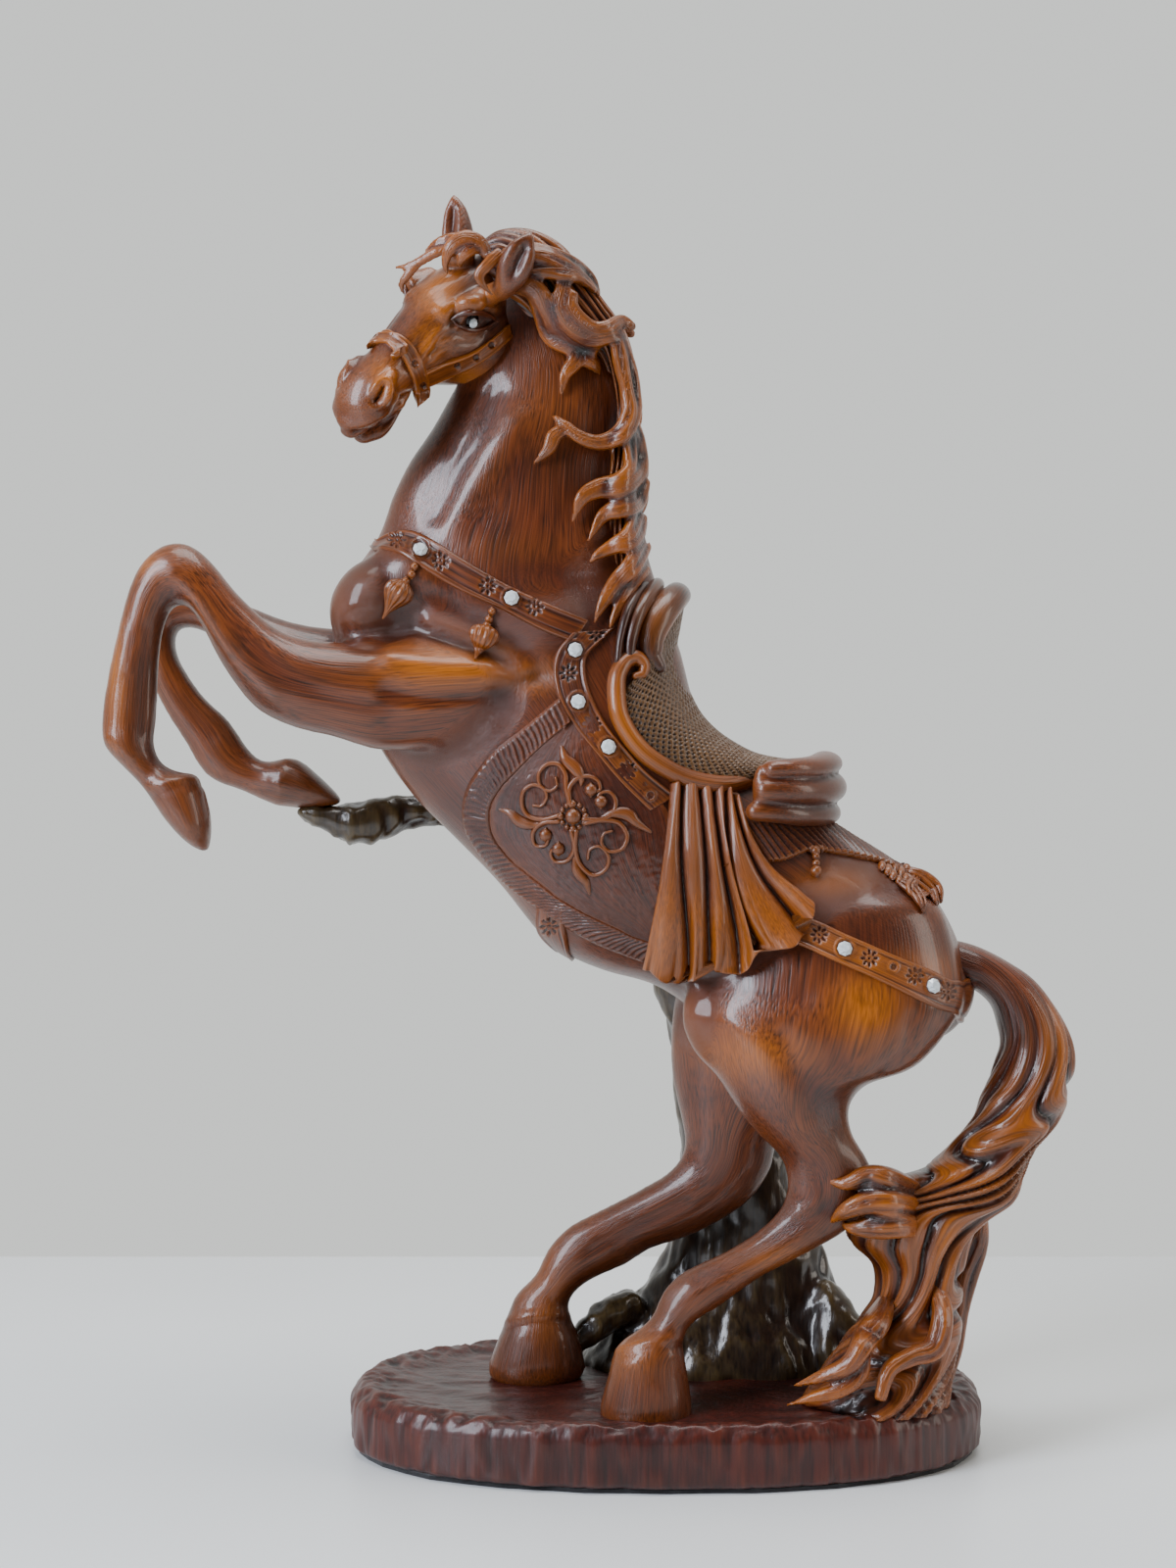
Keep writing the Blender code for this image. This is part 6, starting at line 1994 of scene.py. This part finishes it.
@dataclass
class RumpPad:
    """The pleated pad behind the saddle, its beads, and the knot on the crest of the rump."""

    edges: Rows = table(
        (752, 830, 782, 880), (775, 833, 800, 878), (800, 835, 828, 868), (825, 837, 850, 871),
        (850, 840, 872, 875), (880, 850, 898, 881), (905, 866, 916, 888), (925, 882, 930, 897))
    pleats: int = 24
    rows: int = 180
    columns: int = 40
    beads: Rows = table(
        (832, 868, 1.5), (828, 866, 1.1), (838, 866, 1.1), (833, 874, 1.1), (833, 881, 1.2),
        (833, 889, 1.7), (900, 884, 1.3), (906, 888, 1.5), (913, 886, 1.2), (911, 893, 1.4),
        (919, 890, 1.4), (925, 886, 1.3), (917, 898, 1.2), (924, 896, 1.3))
    knot: list[Rows] = table(
        [(928, 890, 2, 2, 0.8), (940, 897, 3, 3, 1.2), (952, 908, 3, 3, 1.2), (957, 920, 1.6, 2, 0.6)],
        [(920, 900, 1.4, 2, 0.6), (932, 908, 2, 2.4, 1), (940, 920, 1.6, 2, 0.8),
            (942, 930, 0.4, 0.8, 0.3)],
        [(934, 896, 1.6, 2, 1), (930, 905, 2, 2.4, 1.4), (936, 912, 1.6, 2, 1.2),
            (946, 910, 1.2, 1.6, 1)])

    def trimmings(self, chart: DepthChart) -> list[Skin]:
        """One side's beads and knot."""
        beads = [bead(chart, row, 0.9) for row in self.beads]
        return beads + [strand for rows in self.knot for strand in Hair().lock(rows, 3, chart, 5)]

    def built(self, carrier: Carrier, material: Material) -> Piece:
        """The finished pad, beads and knot, on both sides."""
        places = edge_grid(self.edges, self.rows, self.columns)
        share = np.linspace(0, 1, self.rows)[:, None]
        across = np.linspace(0, 1, self.columns)[None]
        wave = (self.pleats * (share - 0.05 * across)) % 1.0
        pleat = wave ** 0.6 * (1 - smooth_step(wave, 0.8, 1.0))
        height = 0.4 + (0.5 + 1.2 * pleat) * (1 - 0.5 * smooth_step(across, 0.97, 1.0))
        skins = []
        for side in (Side.NEAR, Side.FAR):
            grid = carrier.lifted(places, side)
            inner = np.maximum if side is Side.FAR else np.minimum
            grid[..., 1] = inner(grid[..., 1], MIDDLE * MM)
            grid = evened_grid(carrier.snapped(grid), 6)
            skins.append(slab(grid, height, side))
        skin = Skin.joined(skins + carrier.both(self.trimmings))
        skin.stained_and_shaded(0.35, 8)
        return dressed("rump_pad", skin, material)


@dataclass
class Tassels:
    """The two tassels under the breast strap on each side: beads, a fluted bulb and its tip."""

    # The bulb's half width along its length
    bulb: list[tuple[float, float]] = table(
        (0, 0.9), (0.07, 2.3), (0.2, 3.8), (0.36, 4.2), (0.52, 3.5), (0.68, 2.1), (0.84, 0.9), (1, 0.3))
    drops: list[Rows] = table(
        [(423, 578), (420, 586), (414, 593), (404, 608), (391, 631)],
        [(502, 624), (499, 632), (497, 638), (493, 652), (485, 672)])

    def hung(self, chart: DepthChart) -> list[Skin]:
        """One side's tassels: beads, then a bulb whose path bends from its top to its tip."""
        skins = []
        for drop in self.drops:
            skins += [bead(chart, (*place, size), 0.8) for place, size in zip(drop, (1.15, 1.25, 1.25))]
            top, bend, tip = np.array(drop[2:])
            share = np.linspace(0, 1, 40)[:, None]
            path = top * (1 - share) ** 2 + 2 * bend * share * (1 - share) + tip * share**2
            width = np.interp(share[:, 0], *through(self.bulb, 6).T)
            skins.append(laid(chart, np.column_stack([path, width, width * 0.85]), 1.2, 72, (14, 0.07)))
        return skins

    def built(self, carrier: Carrier, material: Material) -> Piece:
        """The finished tassels, on both sides."""
        skin = Skin.joined(carrier.both(self.hung))
        skin.relief = np.clip(skin.relief, -0.9, 0.7)
        skin.glow = np.full(len(skin.points), 0.2)
        return dressed("tassels", skin, material)


@dataclass
class Bridle:
    """The noseband and the cheek strap, with their studs."""

    noseband: Rows = table(
        (374, 354, 382, 343), (386, 350, 394, 340), (398, 352, 408, 342), (408, 362, 421, 353),
        (417, 378, 431, 370), (423, 395, 437, 390), (426, 416, 437, 406))
    cheek: Rows = table(
        (431, 380, 435, 394), (455, 369, 457, 385), (480, 360, 482, 374), (500, 347, 503, 361),
        (518, 331, 521, 344))
    studs: list[tuple[float, float]] = table(
        (409, 351), (423, 371), (431, 392), (466, 372), (485, 364), (501, 352))

    def built(self, head: Head, material: Material) -> Piece:
        """The finished bridle: each strap laid on the near cheek and copied to the other."""
        chart = DepthChart(head.skin, 2, 6)
        skins = []
        for edges, rows, columns in ((self.noseband, 130, 20), (self.cheek, 120, 20)):
            places = edge_grid(edges, rows, columns)
            grid = evened_grid(chart.lifted(places[..., 0], places[..., 1]), 10)
            share = np.linspace(0, 1, columns)[None]
            rim = bell(share, 0.12, 0.09) + bell(share, 0.88, 0.09)
            height = np.broadcast_to(0.75 + 0.3 * rim, grid.shape[:2]).copy()
            for centre in self.studs:
                gap = np.linalg.norm(places - centre, axis=-1)
                height -= 0.75 * (1 - smooth_step(gap, 2.4, 4.2))
            strap = slab(grid, height, Side.NEAR, 1.2)
            skins += [strap, head.copied(strap)]
        skin = Skin.joined(skins)
        skin.stained_and_shaded(0.22, 8)
        skin.glow = np.full(len(skin.points), 0.3)
        return dressed("bridle", skin, material)


@dataclass
class Eyes:
    """Both eyes: a dark ball between an upper and a lower lid."""

    centre: tuple[float, float] = (484, 329)
    radius_mm: float = 3.6
    sunk_mm: float = 2.9
    upper: Rows = table(
        (461, 326, 0.3), (468, 321.5, 0.7), (478, 319, 0.95), (490, 319, 0.95), (500, 322, 0.7),
        (508, 328, 0.3))
    lower: Rows = table(
        (461, 326, 0.3), (469, 333, 0.55), (481, 337, 0.7), (494, 335, 0.6), (506, 328, 0.3))

    def built(self, head: Head, lid: Material, ball: Material) -> None:
        """The finished lids and balls."""
        chart = DepthChart(head.skin, 1, 6)
        skins = [laid(chart, through(rows, 8)[:, [0, 1, 2, 2]], 0.5, 12)
                 for rows in (self.upper, self.lower)]
        lids = Skin.joined(skins + [head.copied(part) for part in skins])
        lids.relief = np.full(len(lids.points), 0.1)
        dressed("eyelids", lids, lid)
        _, axis, top, side = head.frame()
        spot = chart.lifted(*np.array(self.centre)) - side * self.sunk_mm * MM
        way = np.linspace(-0.98, 0.98, 17)[:, None]
        round_off = np.sqrt(1 - way**2) * self.radius_mm * MM
        centres = spot + axis * way * self.radius_mm * MM
        near = tube(centres, top * round_off, side * round_off, 28)
        dressed("eyeballs", Skin.joined([near, head.copied(near)]), ball)


@dataclass
class Studio:
    """The pale floor, the soft lights and the camera; the room is bright behind the statue."""

    backdrop: str = "#D9DBD9"

    def floor(self) -> None:
        """A wide pale floor under the statue."""
        span = np.array([(-4, -4, 0), (4, -4, 0), (4, 0.27, 0), (-4, 0.27, 0)], float)
        made = raw_object("studio_floor", Skin(span, np.array([[0, 1, 2, 3]])))
        material, tree = new_material("pale_floor")
        colour = mixed(tree, clouds(tree, 6.0, 3.0), "#D8DADA", "#E2E4E3")
        surfaced(tree, {"Base Color": colour, "Roughness": 0.35})
        made.data.materials.append(material)

    def light(self, name: str, place: tuple, size: tuple, watts: float, colour: str) -> None:
        """One soft rectangular light that looks at the statue's middle."""
        data = bpy.data.lights.new(name, "AREA")
        data.shape = "RECTANGLE"
        data.size, data.size_y = size
        data.energy = watts
        data.color = linear(colour)[:3]
        made = bpy.data.objects.new(name, data)
        bpy.context.scene.collection.objects.link(made)
        aim = np.array([-0.02, 0.0, 0.18]) - np.array(place)
        yaw = math.atan2(aim[1], aim[0]) - math.pi / 2
        pitch = math.atan2(aim[2], math.hypot(aim[0], aim[1]))
        made.location = place
        made.rotation_euler = (math.pi / 2 + pitch, 0, yaw)

    def lights(self) -> None:
        """A window to the front left, a top light, a weaker right side and a pale surround."""
        self.light("window_left", (-0.95, -0.75, 0.75), (0.45, 0.9), 28, "#EAF1FF")
        self.light("ceiling", (0.05, -0.10, 1.25), (0.9, 0.6), 13, "#FFFFFF")
        self.light("right_fill", (1.15, -0.35, 0.55), (0.4, 0.9), 6, "#FFF6EC")
        world = bpy.data.worlds.new("surround")
        world.use_nodes = True
        tree = world.node_tree
        tree.nodes.clear()
        way = add(tree, "ShaderNodeTexCoord").outputs["Generated"]
        depth = add(tree, "ShaderNodeSeparateXYZ", {0: way}).outputs["Y"]
        bright = ranged(tree, depth, -0.4, 0.8, 0.1, 1.3)
        shine = add(tree, "ShaderNodeBackground", {"Color": linear(self.backdrop), "Strength": bright})
        add(tree, "ShaderNodeOutputWorld", {"Surface": shine.outputs[0]})
        bpy.context.scene.world = world

    def camera(self) -> None:
        """A level camera at the sheet's eye, whose frame is the sheet."""
        data = bpy.data.cameras.new("photo_view")
        high_mm = 1600 / SHEET.units
        data.sensor_width = 36.0
        data.lens = data.sensor_width * -SHEET.eye[1] / high_mm
        data.clip_start = 0.01
        made = bpy.data.objects.new("photo_view", data)
        made.location = [value * MM for value in SHEET.eye]
        made.rotation_euler = (math.pi / 2, 0, 0)
        bpy.context.scene.collection.objects.link(made)
        bpy.context.scene.camera = made


def main() -> None:
    """Build every piece in order, then the studio."""
    logging.basicConfig(level=logging.INFO, format="%(message)s")
    resin = BrushedResin("brushed_resin").material()
    hair = BrushedResin("hair_resin", streak_mm=0.6, streak_length_mm=26, streak_height_mm=0.55,
                        gold_share=0.55).material()
    bark = BrushedResin("bark_resin", deep="#160C08", body="#2A1A11", warm="#453620", gold="#6A5730",
                        recess="#090504", streak_length_mm=9, streak_mm=1.1, roughness=0.3).material()
    wall = BrushedResin("base_resin", deep="#260A06", body="#3E120B", warm="#4A190F", gold="#6A2F1A",
                        recess="#140504", streak_mm=1.2, roughness=0.42, coat=0.15,
                        gold_share=0.35).material()
    lattice = BrushedResin("lattice_resin", deep="#35200F", body="#543518", warm="#65421F", gold="#7E5A2C",
                           recess="#0C0502", roughness=0.4).material()
    pupil = BrushedResin("pupil_resin", deep="#1A0A06", body="#2E130B", warm="#2E130B", gold="#3E1C0E",
                         recess="#080302", roughness=0.2).material()
    body = Body()
    body.built(resin)
    head = Head()
    head.built(resin)
    Mane().built(body.skin, hair)
    Tail().built(hair)
    Bridle().built(head, resin)
    Eyes().built(head, resin, pupil)
    carrier = Carrier(body.skin)
    Straps().built(carrier, resin)
    Blanket().built(carrier, resin)
    Saddle().built(carrier, resin, lattice)
    Drape().built(carrier, resin)
    RumpPad().built(carrier, resin)
    Tassels().built(carrier, resin)
    carrier.closed()
    TreeStump().built(bark)
    OvalBase().built(wall)
    glass, felt = CrystalGlass().material(), BlackFelt().material()
    finishes = {Slot.CRYSTAL.value: glass, Slot.FELT.value: felt}
    for node in frame["record"]["subparts"]:
        if node["material_slot"] in finishes:
            materials = bpy.data.objects[node["node"]].data.materials
            materials.clear()
            materials.append(finishes[node["material_slot"]])
    studio = Studio()
    studio.floor()
    studio.lights()
    studio.camera()
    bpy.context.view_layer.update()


if __name__ == "__main__":
    main()
